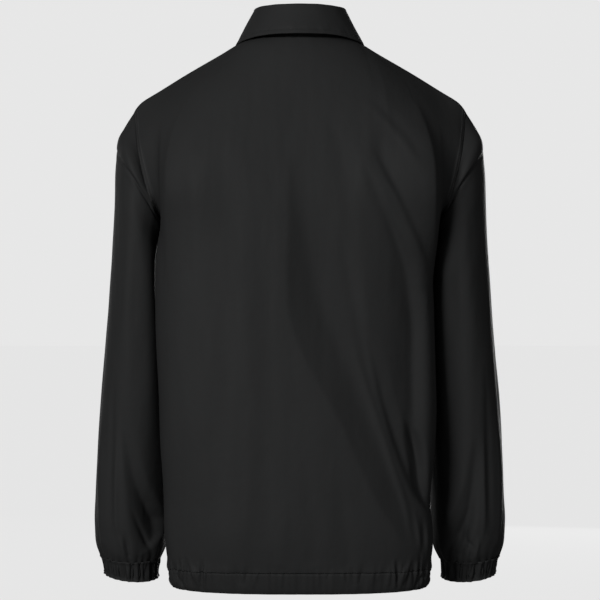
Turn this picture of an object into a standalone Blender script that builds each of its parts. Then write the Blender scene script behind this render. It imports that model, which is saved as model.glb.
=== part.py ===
"""Hip-length windbreaker with a turned-down collar, elastic cuffs and a gathered hem.

The jacket keeps the hollow form of a worn garment, with nobody in it. Metres, +Z up. The wearer faces -Y,
so +Y is the back and +X is the wearer's left. The origin is the middle of the neck opening, level with the
tops of the shoulders.
"""

import math
from collections import namedtuple

import bmesh
import bpy
import numpy as np
from mathutils import Matrix, Vector

for old in list(bpy.data.objects):
    bpy.data.objects.remove(old, do_unlink=True)

# Cloth and seams
CLOTH = 0.0015
DOUBLED_CLOTH = 0.0020
SEAM_GAP = 0.0005
ARMHOLE_GAP = 0.0005
COLLAR_GAP = 0.0009

# Heights of the body
HEM_EDGE = -0.725
HEM_SEAM = -0.697
UNDERARM = -0.245

# Body section: two superellipse halves that meet at the widest line
WIDEST_Y = 0.030
BACK_SQUARENESS = 2.8
FRONT_SQUARENESS = 2.15
SIDE_SEAM_Y = -0.012
Section = namedtuple("Section", "height half_left half_right back front")
BODY_SECTIONS = (
    Section(HEM_EDGE, 0.1680, 0.1670, 0.1000, 0.112),
    Section(HEM_SEAM, 0.1735, 0.1720, 0.1060, 0.118),
    Section(-0.660, 0.1790, 0.1780, 0.1130, 0.126),
    Section(-0.600, 0.1815, 0.1800, 0.1165, 0.130),
    Section(-0.540, 0.1850, 0.1825, 0.1175, 0.133),
    Section(-0.450, 0.1875, 0.1800, 0.1180, 0.135),
    Section(-0.360, 0.1910, 0.1775, 0.1190, 0.137),
    Section(-0.290, 0.1905, 0.1765, 0.1195, 0.137),
    Section(UNDERARM, 0.1850, 0.1850, 0.1200, 0.136),
)

# Front lap: the left front lies over the right
FRONT_LAP = 0.018
LAP_LAYER = CLOTH + 0.0012
LAP_BLEND = 0.030

# Neck opening and shoulder seam
NECK_HALF_WIDTH = 0.073
NECK_BACK = 0.062
NECK_FRONT = 0.088
NECK_TOP = 0.003
NECK_BACK_DROP = 0.005
NECK_FRONT_DROP = 0.063
SHOULDER_BOW = 0.009

# How the cloth above the underarm rises and rolls over to the neck and shoulders
CHEST_RISE = 0.20
SHOULDER_LIFT = 0.030
Upper = namedtuple("Upper", "neck_in neck_up roll_at_neck roll_at_arm fan")
UPPER_BACK = Upper(-0.075, 0.090, -0.270, -0.150, 0.085)
UPPER_FRONT = Upper(0.050, 0.120, 0.150, 0.150, 0.000)
ARMHOLE_REACH = 2

# The armhole, from the underarm up to the shoulder point
ArmholePoint = namedtuple("ArmholePoint", "x y z")
SHOULDER_POINT = ArmholePoint(0.2220, -0.0040, -0.0940)
ARMHOLE_BACK = (
    ArmholePoint(0.1975, 0.0440, -0.2120),
    ArmholePoint(0.2115, 0.0370, -0.1600),
)
ARMHOLE_FRONT = (
    ArmholePoint(0.1900, -0.0680, -0.2120),
    ArmholePoint(0.2060, -0.0520, -0.1550),
)
SHOULDER_LEAN = 0.60
BODY_UNDERARM_LEAN = 0.30
SLEEVE_UNDERARM_LEAN = -0.15

# Sleeve sections below the armhole; lean tips a ring's back edge down as the forearm comes forward
Ring = namedtuple("Ring", "outer_x outer_z inner_x inner_z middle_y half_depth lean")
SLEEVE_RINGS = (
    Ring(0.2400, -0.1250, 0.1840, -0.2530, -0.014, 0.0690, 0.00),
    Ring(0.2452, -0.1600, 0.1870, -0.2680, -0.019, 0.0710, 0.00),
    Ring(0.2480, -0.2220, 0.1870, -0.2920, -0.026, 0.0720, 0.00),
    Ring(0.2560, -0.3510, 0.1830, -0.3680, -0.038, 0.0680, 0.03),
    Ring(0.2665, -0.4800, 0.1800, -0.4850, -0.047, 0.0630, 0.07),
    Ring(0.2738, -0.6080, 0.1795, -0.6080, -0.056, 0.0600, 0.11),
    Ring(0.2745, -0.6500, 0.1800, -0.6520, -0.060, 0.0580, 0.13),
    Ring(0.2700, -0.6850, 0.1830, -0.6880, -0.063, 0.0510, 0.14),
    Ring(0.2645, -0.7000, 0.1895, -0.7040, -0.064, 0.0420, 0.15),
)
CUFF_EDGE = Ring(0.2625, -0.7215, 0.1905, -0.7270, -0.067, 0.0400, 0.15)
SLEEVE_CLEARANCE = 0.0030
CLEARANCE_RUN = 0.030

# Turned-down collar
STAND_TOP = 0.0365
STAND_FRONT_TOP = -0.0340
STAND_SIDE_LEAN = 0.0160
STAND_BACK_LEAN = 0.0060
COLLAR_END = 0.050
FOLD_RADIUS = 0.0036
FOLD_RISE = 0.0018
FallShape = namedtuple("FallShape", "drop flare")
FALL_BACK = FallShape(0.0345, 0.42)
FALL_SIDE = FallShape(0.0385, 0.58)
FALL_FRONT = FallShape(0.0560, 0.95)
POINT_SPREAD = 0.17

# Cuff gathers
CUFF_WAVES = 24
CUFF_WAVE_HEIGHT = 0.0026

# Hem gathers: a stretch runs between two shares of the way across its panel, from the centre to the side
HemStretch = namedtuple("HemStretch", "start end waves wave_height")
HEM_GATHERS = (
    HemStretch(0.00, 0.62, 5, 0.0014),
    HemStretch(0.62, 1.00, 11, 0.0022),
)
WAVE_POINTS = 4

# Folds from (x0, z0) to (x1, z1) across the back or a front; a trough has a negative depth
Fold = namedtuple("Fold", "x0 z0 x1 z1 half_width depth bow")
BACK_FOLDS = (
    Fold(0.012, -0.165, -0.040, -0.400, 0.016, -0.0060, 0.006),
    Fold(-0.040, -0.400, -0.140, -0.650, 0.020, -0.0055, -0.008),
    Fold(-0.088, -0.400, -0.160, -0.610, 0.013, -0.0055, -0.006),
    Fold(-0.066, -0.330, -0.130, -0.600, 0.013, 0.0045, -0.008),
    Fold(-0.125, -0.200, -0.150, -0.480, 0.020, -0.0060, 0.000),
    Fold(-0.095, -0.170, -0.160, -0.310, 0.013, 0.0050, 0.010),
    Fold(0.105, -0.200, 0.100, -0.640, 0.024, -0.0025, 0.000),
    Fold(0.060, -0.300, 0.055, -0.680, 0.020, 0.0022, 0.000),
    Fold(0.194, -0.140, 0.190, -0.230, 0.012, -0.0060, 0.000),
    Fold(-0.194, -0.140, -0.190, -0.230, 0.012, -0.0060, 0.000),
)
LEFT_FRONT_FOLDS = (
    Fold(0.140, -0.190, 0.085, -0.420, 0.018, -0.0050, -0.006),
    Fold(0.085, -0.330, 0.115, -0.640, 0.020, 0.0040, 0.004),
    Fold(0.050, -0.300, 0.060, -0.640, 0.016, -0.0035, 0.000),
)
RIGHT_FRONT_FOLDS = (
    Fold(-0.135, -0.200, -0.100, -0.460, 0.018, -0.0050, 0.006),
    Fold(-0.075, -0.360, -0.105, -0.650, 0.020, 0.0040, 0.000),
    Fold(-0.060, -0.180, -0.055, -0.420, 0.016, -0.0030, 0.000),
)
FOLD_END = 0.30
FOLD_OVERRUN = 0.40

# Sleeve folds, from a turn in degrees (0 outside, 90 back, 180 inside) and height to another
SleeveFold = namedtuple("SleeveFold", "turn0 z0 turn1 z1 half_width depth")
SLEEVE_FOLDS = (
    SleeveFold(20, -0.160, 140, -0.240, 0.013, -0.0075),
    SleeveFold(30, -0.138, 135, -0.212, 0.013, 0.0045),
    SleeveFold(70, -0.480, 125, -0.670, 0.017, -0.0090),
    SleeveFold(30, -0.540, 40, -0.680, 0.013, 0.0040),
    SleeveFold(250, -0.350, 300, -0.460, 0.018, -0.0060),
    SleeveFold(285, -0.560, 265, -0.680, 0.017, -0.0070),
)

# Snap caps down the lap
SNAP_COUNT = 5
SNAP_RADIUS = 0.0060
SNAP_CROWN = 0.0042
SNAP_HEIGHT = 0.0022
SNAP_SEAT = 0.0005
SNAP_SEGMENTS = 20
SNAP_TOP = -0.105
SNAP_BOTTOM = -0.650

# Points across and along the panels
NECK_COLUMNS = 7
SHOULDER_COLUMNS = 11
LOWER_ROWS = 13
UPPER_ROWS = 11
SLEEVE_ROWS = 22
SLEEVE_EASE = 0.35
STAND_ROWS = 3
FALL_ROWS = 4
ROLL_STEPS = 4
ARC_SAMPLES = 400
MERGE = 1e-6

# Finishes
Finish = namedtuple("Finish", "colour roughness")
SHELL_CLOTH = Finish((0.022, 0.023, 0.023, 1.0), 0.42)
GATHERED_CLOTH = Finish((0.020, 0.021, 0.021, 1.0), 0.46)
SNAP_ENAMEL = Finish((0.016, 0.016, 0.017, 1.0), 0.30)

# Points of a sheet's outer face, and the way the cloth faces at each
Sheet = namedtuple("Sheet", "outer facing")


def smooth_step(value):
    value = np.clip(value, 0.0, 1.0)
    return value * value * (3.0 - 2.0 * value)


def unit(vectors):
    return vectors / np.linalg.norm(vectors, axis=-1, keepdims=True)


def hermite(start, start_pull, end, end_pull, t):
    """A cubic from start to end that leaves and arrives along the two pulls."""
    t2 = t * t
    t3 = t2 * t
    leaving = (2 * t3 - 3 * t2 + 1) * start + (t3 - 2 * t2 + t) * start_pull
    arriving = (3 * t2 - 2 * t3) * end + (t3 - t2) * end_pull
    return leaving + arriving


def through(knots, values, at):
    """A smooth curve through values at their knots, read at any place between."""
    slopes = np.gradient(values, knots, axis=0)
    low = np.clip(np.searchsorted(knots, at) - 1, 0, len(knots) - 2)
    span = knots[low + 1] - knots[low]
    t = np.clip((at - knots[low]) / span, 0.0, 1.0)
    shape = np.shape(t) + (1,) * (values.ndim - 1)
    span = np.reshape(span, shape)
    t = np.reshape(t, shape)
    return hermite(values[low], slopes[low] * span, values[low + 1], slopes[low + 1] * span, t)


def lengths_along(points):
    steps = np.linalg.norm(np.diff(points, axis=0), axis=-1)
    return np.concatenate([[0.0], np.cumsum(steps)])


def along(points, shares):
    """Points at shares of the length of a smooth line through a few points."""
    points = np.array(points, float)
    length = lengths_along(points)
    return through(length, points, np.asarray(shares) * length[-1])


def body_column(name, height):
    """A column of the body table at any height."""
    rows = sorted(BODY_SECTIONS)
    heights = np.array([row.height for row in rows])
    values = np.array([getattr(row, name) for row in rows])
    return through(heights, values, height)


def body_section(height, angle):
    """The body's section: angle 0 is the centre back, pi / 2 the left side, pi the centre front."""
    sine, cosine = np.sin(angle), np.cos(angle)
    behind = cosine >= 0
    power = 2.0 / np.where(behind, BACK_SQUARENESS, FRONT_SQUARENESS)
    half = np.where(sine >= 0, body_column("half_left", height), body_column("half_right", height))
    back = body_column("back", height) - WIDEST_Y
    front = body_column("front", height) + WIDEST_Y
    x = half * np.sign(sine) * np.abs(sine) ** power
    y = WIDEST_Y + np.where(behind, back, -front) * np.abs(cosine) ** power
    return np.stack([x, y, np.broadcast_to(height, np.shape(x))], axis=-1)


def left_side_at(y, z):
    """How far out the body's left side is at a depth and height below the underarm."""
    behind = y >= WIDEST_Y
    power = np.where(behind, BACK_SQUARENESS, FRONT_SQUARENESS)
    back = body_column("back", z) - WIDEST_Y
    front = body_column("front", z) + WIDEST_Y
    share = np.abs(y - WIDEST_Y) / np.where(behind, back, front)
    return body_column("half_left", z) * np.clip(1.0 - share**power, 0.0, 1.0) ** (1.0 / power)


def even_angles(start, end, count):
    """Angles that part a stretch of the chest section into equal lengths."""
    fine = np.linspace(start, end, ARC_SAMPLES)
    length = lengths_along(body_section(UNDERARM, fine))
    return np.interp(np.linspace(0.0, length[-1], count), length, fine)


def side_seam_angle():
    share = (WIDEST_Y - SIDE_SEAM_Y) / (body_column("front", UNDERARM) + WIDEST_Y)
    return math.pi - math.acos(share ** (FRONT_SQUARENESS / 2.0))


def lap_angle():
    share = FRONT_LAP / body_column("half_left", UNDERARM)
    return math.pi + math.asin(share ** (FRONT_SQUARENESS / 2.0))


def neck_line(angle):
    """The neck seam: angle 0 is the centre back, pi / 2 the left shoulder, pi the centre front."""
    sine, cosine = np.sin(angle), np.cos(angle)
    behind = cosine >= 0
    x = NECK_HALF_WIDTH * sine
    y = np.where(behind, NECK_BACK, NECK_FRONT) * cosine
    z = NECK_TOP - np.where(behind, NECK_BACK_DROP, NECK_FRONT_DROP) * cosine**2
    return np.stack([x, y, z], axis=-1)


def shoulder_seam():
    """The left shoulder seam, from just past the neck to the armhole."""
    share = np.linspace(0.0, 1.0, SHOULDER_COLUMNS + 1)[1:, None]
    start = neck_line(math.pi / 2)
    bow = SHOULDER_BOW * 4.0 * share * share * (1.0 - share)
    return start + (np.array(SHOULDER_POINT) - start) * share + bow * np.array([0.0, 0.0, 1.0])


def armhole_half(middle_points, shares):
    """One side of the left armhole, from the underarm (0) to the shoulder (1)."""
    under = body_section(UNDERARM, side_seam_angle())
    return along([under, *middle_points, SHOULDER_POINT], shares)


def armhole_facing(turn, underarm_lean):
    """How the cloth faces at the left armhole: turn 0 is the shoulder, pi / 2 the back, pi the underarm."""
    lean = underarm_lean + (SHOULDER_LEAN - underarm_lean) * (1.0 + np.cos(turn)) / 2
    return unit(np.stack([lean, np.sin(turn), np.cos(turn)], axis=-1))


def body_half(angles, neck_angles, armhole, upper):
    """A left half panel in columns from the centre to the side, and rows from the hem seam to the top."""
    tops = np.concatenate([neck_line(neck_angles), shoulder_seam()])
    heights = np.linspace(HEM_SEAM, UNDERARM, LOWER_ROWS + 1)
    lower = np.array([body_section(height, angles) for height in heights])
    across = np.linspace(0.0, 1.0, len(angles))
    over_shoulder = np.append(1.0 - np.abs(np.cos(neck_angles)), np.ones(SHOULDER_COLUMNS))[:, None]
    to_arm = np.append(np.zeros(len(neck_angles)), np.linspace(0.0, 1.0, SHOULDER_COLUMNS))
    roll = upper.roll_at_neck + (upper.roll_at_arm - upper.roll_at_neck) * to_arm
    shoulder_pull = np.stack([upper.fan * (to_arm - 1.0), roll, 0 * roll + SHOULDER_LIFT], axis=-1)
    neck_pull = np.array([0.0, upper.neck_in, upper.neck_up])
    pull = neck_pull * (1.0 - over_shoulder) + shoulder_pull * over_shoulder
    rise = np.array([0.0, 0.0, CHEST_RISE])
    shares = np.linspace(0.0, 1.0, UPPER_ROWS + 1)
    over = np.array([hermite(lower[-1], rise, tops, pull, share) for share in shares])
    to_edge = armhole_half(armhole, shares) - over[:, -1]
    over = over + to_edge[:, None, :] * (across**ARMHOLE_REACH)[None, :, None]
    return np.concatenate([lower, over[1:]])


def back_half():
    angles = even_angles(0.0, side_seam_angle(), NECK_COLUMNS + SHOULDER_COLUMNS + 1)
    neck_angles = np.linspace(0.0, math.pi / 2, NECK_COLUMNS + 1)
    return body_half(angles, neck_angles, ARMHOLE_BACK, UPPER_BACK)


def front_half():
    to_side = even_angles(math.pi, side_seam_angle(), NECK_COLUMNS + SHOULDER_COLUMNS)
    angles = np.append(lap_angle(), to_side)
    lap = math.pi + math.asin(FRONT_LAP / NECK_HALF_WIDTH)
    neck_angles = np.append(lap, np.linspace(math.pi, math.pi / 2, NECK_COLUMNS))
    return body_half(angles, neck_angles, ARMHOLE_FRONT, UPPER_FRONT)


def other_side(rows):
    """The same rows on the wearer's right, with columns still clockwise from above."""
    return (rows * np.array([-1.0, 1.0, 1.0]))[:, ::-1]


def fit_right_side(rows):
    """Draws the lower right of the body in to its own width."""
    z = np.minimum(rows[..., 2], UNDERARM)
    narrower = body_column("half_right", z) / body_column("half_left", z)
    x = np.where(rows[..., 0] < 0, rows[..., 0] * narrower, rows[..., 0])
    return np.concatenate([x[..., None], rows[..., 1:]], axis=-1)


def facing_of(rows, closed=False):
    """The way the cloth faces; columns run clockwise from above and rows upward."""
    if closed:
        ring = np.concatenate([rows[:, -1:], rows, rows[:, :1]], axis=1)
        sideways = np.gradient(ring, axis=1)[:, 1:-1]
    else:
        sideways = np.gradient(rows, axis=1)
    return unit(np.cross(np.gradient(rows, axis=0), sideways))


def fold_shape(share, aside, half_width):
    """One fold's soft cross-section, fading towards its two ends."""
    start = smooth_step(share / FOLD_END + FOLD_OVERRUN)
    end = smooth_step((1.0 - share) / FOLD_END + FOLD_OVERRUN)
    return start * end * np.exp(-((aside / half_width) ** 2))


def body_folds(rows, folds):
    x, z = rows[..., 0], rows[..., 2]
    depth = np.zeros(x.shape)
    for fold in folds:
        way_x, way_z = fold.x1 - fold.x0, fold.z1 - fold.z0
        length = math.hypot(way_x, way_z)
        share = ((x - fold.x0) * way_x + (z - fold.z0) * way_z) / length**2
        aside = ((x - fold.x0) * way_z - (z - fold.z0) * way_x) / length
        aside = aside - fold.bow * 4.0 * share * (1.0 - share)
        depth += fold.depth * fold_shape(share, aside, fold.half_width)
    return depth


def off_seams(rows):
    """Keeps folds off a panel's edges, so that neighbours still meet."""
    across = np.arange(rows.shape[1])
    up = np.arange(rows.shape[0])
    inside = np.minimum(np.minimum(across, across[::-1])[None, :], np.minimum(up, up[::-1])[:, None])
    return np.clip(inside, 0, 1)


def drawn_back(rows, first=0.0, last=0.0, bottom=0.0, top=0.0):
    """Draws the edges of a panel back from its seams."""
    rows = rows.copy()
    rows[:, 0] += first * unit(rows[:, 1] - rows[:, 0])
    rows[:, -1] += last * unit(rows[:, -2] - rows[:, -1])
    rows[0] += bottom * unit(rows[1] - rows[0])
    rows[-1] += top * unit(rows[-2] - rows[-1])
    return rows


def body_sheet(rows, folds, seam_columns, behind):
    """A body panel with its folds and seam gaps; at the seams the cloth faces as its neighbour's does."""
    facing = facing_of(rows)
    turn = np.linspace(math.pi, 0.0, UPPER_ROWS + 1) * (1 if behind else -1)
    for column in seam_columns:
        outside = np.array([np.sign(rows[0, column, 0]), 1.0, 1.0])
        facing[LOWER_ROWS:, column] = armhole_facing(turn, BODY_UNDERARM_LEAN) * outside
    run = SHOULDER_POINT.x - NECK_HALF_WIDTH
    fall = NECK_TOP - SHOULDER_POINT.z
    sides = np.sign(rows[-1, :, 0])
    on_shoulder = np.abs(rows[-1, :, 0]) > NECK_HALF_WIDTH - CLOTH
    facing[-1, on_shoulder] = np.stack([sides * fall, 0 * sides, 0 * sides + run], axis=-1)[on_shoulder]
    facing[0, :, 2] = 0.0
    facing = unit(facing)
    rows = rows + (body_folds(rows, folds) * off_seams(rows))[..., None] * facing
    gap = SEAM_GAP / 2
    first = gap if 0 in seam_columns else 0.0
    last = gap if -1 in seam_columns else 0.0
    return Sheet(drawn_back(rows, first, last, gap, gap), facing)


def back_sheet():
    left = back_half()
    rows = np.concatenate([other_side(left)[:, :-1], left], axis=1)
    return body_sheet(fit_right_side(rows), BACK_FOLDS, (0, -1), True)


def front_left_sheet():
    return body_sheet(front_half()[:, ::-1], LEFT_FRONT_FOLDS, (0,), False)


def front_right_sheet():
    rows = fit_right_side(other_side(front_half()[:, ::-1]))
    sheet = body_sheet(rows, RIGHT_FRONT_FOLDS, (-1,), False)
    under = smooth_step((sheet.outer[..., 0] + FRONT_LAP + LAP_BLEND) / LAP_BLEND)
    return Sheet(sheet.outer - (LAP_LAYER * under)[..., None] * sheet.facing, sheet.facing)


def ring_points(ring, turn):
    """A sleeve section: turn 0 is the outside of the arm, pi / 2 its back, pi its inside."""
    middle = np.array([ring.outer_x + ring.inner_x, 2 * ring.middle_y, ring.outer_z + ring.inner_z]) / 2
    outward = np.array([ring.outer_x - ring.inner_x, 0.0, ring.outer_z - ring.inner_z]) / 2
    backward = np.array([0.0, ring.half_depth, -ring.lean * ring.half_depth])
    return middle + np.cos(turn)[:, None] * outward + np.sin(turn)[:, None] * backward


def sleeve_turns():
    return np.linspace(0.0, 2 * math.pi, 2 * UPPER_ROWS, endpoint=False)


def lengths_between(sections):
    steps = np.linalg.norm(np.diff(sections, axis=0), axis=-1).mean(axis=1)
    return np.concatenate([[0.0], np.cumsum(steps)])


def clear_of_body(rows):
    """Holds the sleeve just off the side of the body below the underarm."""
    y, z = rows[..., 1], rows[..., 2]
    depth = smooth_step((UNDERARM - z) / CLEARANCE_RUN)
    limit = left_side_at(y, np.minimum(z, UNDERARM)) + SLEEVE_CLEARANCE * depth
    x = np.where(z < UNDERARM, np.maximum(rows[..., 0], limit), rows[..., 0])
    return np.concatenate([x[..., None], rows[..., 1:]], axis=-1)


def sleeve_folds(rows, turn):
    """Depth of the sleeve's folds, measured round the sleeve and down it."""
    z = rows[..., 2]
    girth = np.ptp(rows[..., 1], axis=1)[:, None] / 2
    depth = np.zeros(z.shape)
    for fold in SLEEVE_FOLDS:
        share = (fold.z0 - z) / (fold.z0 - fold.z1)
        line = np.radians(fold.turn0 + (fold.turn1 - fold.turn0) * share)
        aside = (turn[None, :] - line) * girth
        slope = girth * math.radians(fold.turn1 - fold.turn0) / (fold.z0 - fold.z1)
        depth += fold.depth * fold_shape(share, aside / np.hypot(1.0, slope), fold.half_width)
    return depth


def between_ends(rows):
    up = np.arange(rows.shape[0])
    return np.clip(np.minimum(up, up[::-1]), 0, 1)[:, None]


def sleeve_sheet():
    """The left sleeve in rows from the armhole down and columns from the outside round by the back."""
    turn = sleeve_turns()
    by_back = armhole_half(ARMHOLE_BACK, np.clip(1.0 - turn / math.pi, 0.0, 1.0))
    by_front = armhole_half(ARMHOLE_FRONT, np.clip(turn / math.pi - 1.0, 0.0, 1.0))
    armhole = np.where((turn <= math.pi)[:, None], by_back, by_front)
    sections = np.array([armhole] + [ring_points(ring, turn) for ring in SLEEVE_RINGS])
    knots = lengths_between(sections)
    even = np.linspace(0.0, 1.0, SLEEVE_ROWS + 1)
    eased = even - SLEEVE_EASE * np.sin(2 * math.pi * even) / (2 * math.pi)
    rows = through(knots, sections, eased * knots[-1])
    rows = clear_of_body(rows)
    facing = facing_of(rows, closed=True)
    facing[0] = armhole_facing(turn, SLEEVE_UNDERARM_LEAN)
    rows = rows + (sleeve_folds(rows, turn) * between_ends(rows))[..., None] * facing
    rows = rows + np.array([ARMHOLE_GAP, 0.0, 0.0])
    return Sheet(drawn_back(rows, top=SEAM_GAP / 2), facing)


def finished(name, mesh, finish):
    data = bpy.data.meshes.new(name)
    mesh.to_mesh(data)
    mesh.free()
    material = bpy.data.materials.new(name)
    material.use_nodes = True
    shader = material.node_tree.nodes["Principled BSDF"]
    shader.inputs["Base Color"].default_value = finish.colour
    shader.inputs["Roughness"].default_value = finish.roughness
    data.materials.append(material)
    JACKET.objects.link(bpy.data.objects.new(name, data))


def spans_seam(face, place, columns):
    """Whether a side face of a wall lies on the closing line of a tube."""
    across = {vert[place] % columns for vert in face.verts}
    return len(across) == 1 and across <= {0, columns - 1}


def wall(name, outer, inner, finish, closed=False):
    """A closed cloth wall between the rows of its outer face and those of its inner face."""
    if closed:
        outer = np.concatenate([outer, outer[:, :1]], axis=1)
        inner = np.concatenate([inner, inner[:, :1]], axis=1)
    rows, columns = outer.shape[:2]
    mesh = bmesh.new()
    bmesh.ops.create_grid(mesh, x_segments=columns - 1, y_segments=rows - 1, size=1.0)
    place = mesh.verts.layers.int.new("place")
    for number, vert in enumerate(mesh.verts):
        vert.co = outer.reshape(-1, 3)[number]
        vert[place] = number
    made = bmesh.ops.extrude_face_region(mesh, geom=mesh.faces[:], use_keep_orig=True)
    for vert in made["geom"]:
        if isinstance(vert, bmesh.types.BMVert):
            vert.co = inner.reshape(-1, 3)[vert[place]]
    if closed:
        seam = [face for face in mesh.faces if spans_seam(face, place, columns)]
        bmesh.ops.delete(mesh, geom=seam, context="FACES")
        bmesh.ops.remove_doubles(mesh, verts=mesh.verts[:], dist=MERGE)
    bmesh.ops.recalc_face_normals(mesh, faces=mesh.faces[:])
    finished(name, mesh, finish)


def cloth_wall(name, sheet, thickness, closed=False):
    """A panel's wall, with its inner face a thickness behind the outer one."""
    wall(name, sheet.outer, sheet.outer - thickness * sheet.facing, SHELL_CLOTH, closed)


def mirrored_sheet(sheet):
    flip = np.array([-1.0, 1.0, 1.0])
    return Sheet(sheet.outer * flip, sheet.facing * flip)


def cuff(name, side):
    """A gathered casing: waves in its outer points over a plain inside, straight below the sleeve."""
    turn = np.linspace(0.0, 2 * math.pi, CUFF_WAVES * WAVE_POINTS, endpoint=False)
    rows = np.array([ring_points(SLEEVE_RINGS[-1], turn), ring_points(CUFF_EDGE, turn)])
    rows = drawn_back(rows, bottom=SEAM_GAP / 2)
    facing = facing_of(rows, closed=True)
    wave = CUFF_WAVE_HEIGHT * (1.0 + np.cos(CUFF_WAVES * turn)) / 2
    flip = np.array([side, 1.0, 1.0])
    outer = (rows + wave[None, :, None] * facing) * flip
    inner = (rows - DOUBLED_CLOTH * facing) * flip
    wall(name, outer, inner, GATHERED_CLOTH, closed=True)


def hem_waves(centre_angle, side_angle):
    """Angles from the centre to the side of a casing, and the gather height at each."""
    shares = np.concatenate(
        [np.linspace(s.start, s.end, s.waves * WAVE_POINTS, endpoint=False) for s in HEM_GATHERS] + [[1.0]]
    )
    heights = np.zeros(len(shares))
    for stretch in HEM_GATHERS:
        within = (shares >= stretch.start) & (shares <= stretch.end)
        place = (shares - stretch.start) / (stretch.end - stretch.start)
        wave = stretch.wave_height * (1.0 - np.cos(2 * math.pi * stretch.waves * place)) / 2
        heights = np.where(within, wave, heights)
    fine = even_angles(centre_angle, side_angle, ARC_SAMPLES)
    return np.interp(shares, np.linspace(0.0, 1.0, ARC_SAMPLES), fine), heights


def hem(name, angles, heights, first, last, layer=0.0):
    """A gathered casing under the hem seam, as wide as the cloth above it there."""
    rows = np.array([body_section(HEM_EDGE, angles), body_section(HEM_SEAM, angles)])
    facing = unit(facing_of(rows) * np.array([1.0, 1.0, 0.0]))
    rows = drawn_back(rows, first=first, last=last, top=SEAM_GAP / 2)
    behind = np.zeros(len(angles)) + layer
    outer = rows + (heights - behind)[None, :, None] * facing
    inner = rows - (DOUBLED_CLOTH + behind)[None, :, None] * facing
    wall(name, outer, inner, GATHERED_CLOTH)


def hem_casings():
    gap = SEAM_GAP / 2
    angles, heights = hem_waves(0.0, side_seam_angle())
    hem(
        "hem_back",
        np.concatenate([-angles[:0:-1], angles]),
        np.concatenate([heights[:0:-1], heights]),
        gap,
        gap,
    )
    angles, heights = hem_waves(lap_angle(), side_seam_angle())
    hem("hem_left", angles[::-1], heights[::-1], gap, 0.0)
    hem_right(angles, heights, gap)


def hem_right(angles, heights, gap):
    """The right casing passes under the left one at the lap."""
    rows = body_section(HEM_SEAM, -angles)
    under = smooth_step((rows[:, 0] + FRONT_LAP + LAP_BLEND) / LAP_BLEND)
    plain = heights * (1.0 - under)
    layer = under * (DOUBLED_CLOTH + LAP_LAYER - CLOTH)
    hem("hem_right", -angles, plain, 0.0, gap, layer)


def collar_angles():
    back = np.linspace(0.0, math.pi / 2, NECK_COLUMNS + 1)
    front = np.linspace(math.pi / 2, math.pi, NECK_COLUMNS)[1:]
    front[-1] = math.pi - COLLAR_END
    left = np.concatenate([back, front])
    return np.concatenate([-left[:0:-1], left])


def radial(angle):
    return np.stack([np.sin(angle), np.cos(angle), np.zeros(len(angle))], axis=-1)


def stand_top(angle):
    """The upper edge of the stand: level round the back, dropping to the centre front."""
    sine, cosine = np.sin(angle), np.cos(angle)
    behind = cosine >= 0
    seam = neck_line(angle)
    lean = STAND_BACK_LEAN + (STAND_SIDE_LEAN - STAND_BACK_LEAN) * sine**2
    top = np.where(behind, STAND_TOP, STAND_TOP - (STAND_TOP - STAND_FRONT_TOP) * cosine**2)
    outward = radial(angle)
    return np.concatenate([(seam - lean[:, None] * outward)[:, :2], top[:, None]], axis=-1)


def collar_stand():
    angle = collar_angles()
    seam = neck_line(angle) + np.array([0.0, 0.0, COLLAR_GAP])
    top = stand_top(angle)
    share = np.linspace(0.0, 1.0, STAND_ROWS + 1)[:, None, None]
    rows = seam + (top - seam) * share
    facing = np.broadcast_to(radial(angle), rows.shape)
    cloth_wall("collar_stand", Sheet(rows, facing), DOUBLED_CLOTH)


def fall_column(name, angle):
    """A column of the fall's shape, read round the neck."""
    back, side, front = (getattr(shape, name) for shape in (FALL_BACK, FALL_SIDE, FALL_FRONT))
    towards_back = side + (back - side) * np.cos(angle) ** 2
    towards_front = side + (front - side) * np.cos(angle) ** 2
    return np.where(np.cos(angle) >= 0, towards_back, towards_front)


def collar_fall():
    """The leaf rolls over the top of the stand and hangs outside it."""
    angle = collar_angles()
    top = stand_top(angle) + np.array([0.0, 0.0, COLLAR_GAP])
    up = np.array([0.0, 0.0, 1.0])
    outward = radial(angle)
    neck_side = top - DOUBLED_CLOTH * outward
    middle = neck_side + FOLD_RADIUS * outward
    rows = [neck_side]
    for roll in np.linspace(math.pi, 0.0, ROLL_STEPS + 1):
        rise = FOLD_RISE + FOLD_RADIUS * math.sin(roll)
        rows.append(middle + FOLD_RADIUS * math.cos(roll) * outward + rise * up)
    hang = rows[-1]
    front = smooth_step((np.abs(angle) - math.pi / 2) / (math.pi / 2))
    for share in np.linspace(0.0, 1.0, FALL_ROWS + 1)[1:]:
        turned = angle * (1.0 - POINT_SPREAD * share * front)
        across = stand_top(turned) + (2 * FOLD_RADIUS - DOUBLED_CLOTH) * radial(turned)
        drop = share * fall_column("drop", angle)
        flare = drop * fall_column("flare", angle)
        lower = across + flare[:, None] * radial(turned)
        height = (hang[:, 2] - drop)[:, None]
        rows.append(np.concatenate([lower[:, :2], height], axis=-1))
    rows = np.array(rows)[::-1]
    cloth_wall("collar_fall", Sheet(rows, facing_of(rows)), DOUBLED_CLOTH)


def point_on(sheet, x, z):
    """The point of a sheet at a place across and up, and the way the cloth faces there."""
    lines = np.concatenate([sheet.outer, sheet.facing], axis=-1)
    at_x = np.array([[np.interp(x, line[::-1, 0], line[::-1, k]) for k in range(6)] for line in lines])
    found = np.array([np.interp(z, at_x[:, 2], at_x[:, k]) for k in range(6)])
    return Vector(found[:3]), Vector(found[3:]).normalized()


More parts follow.
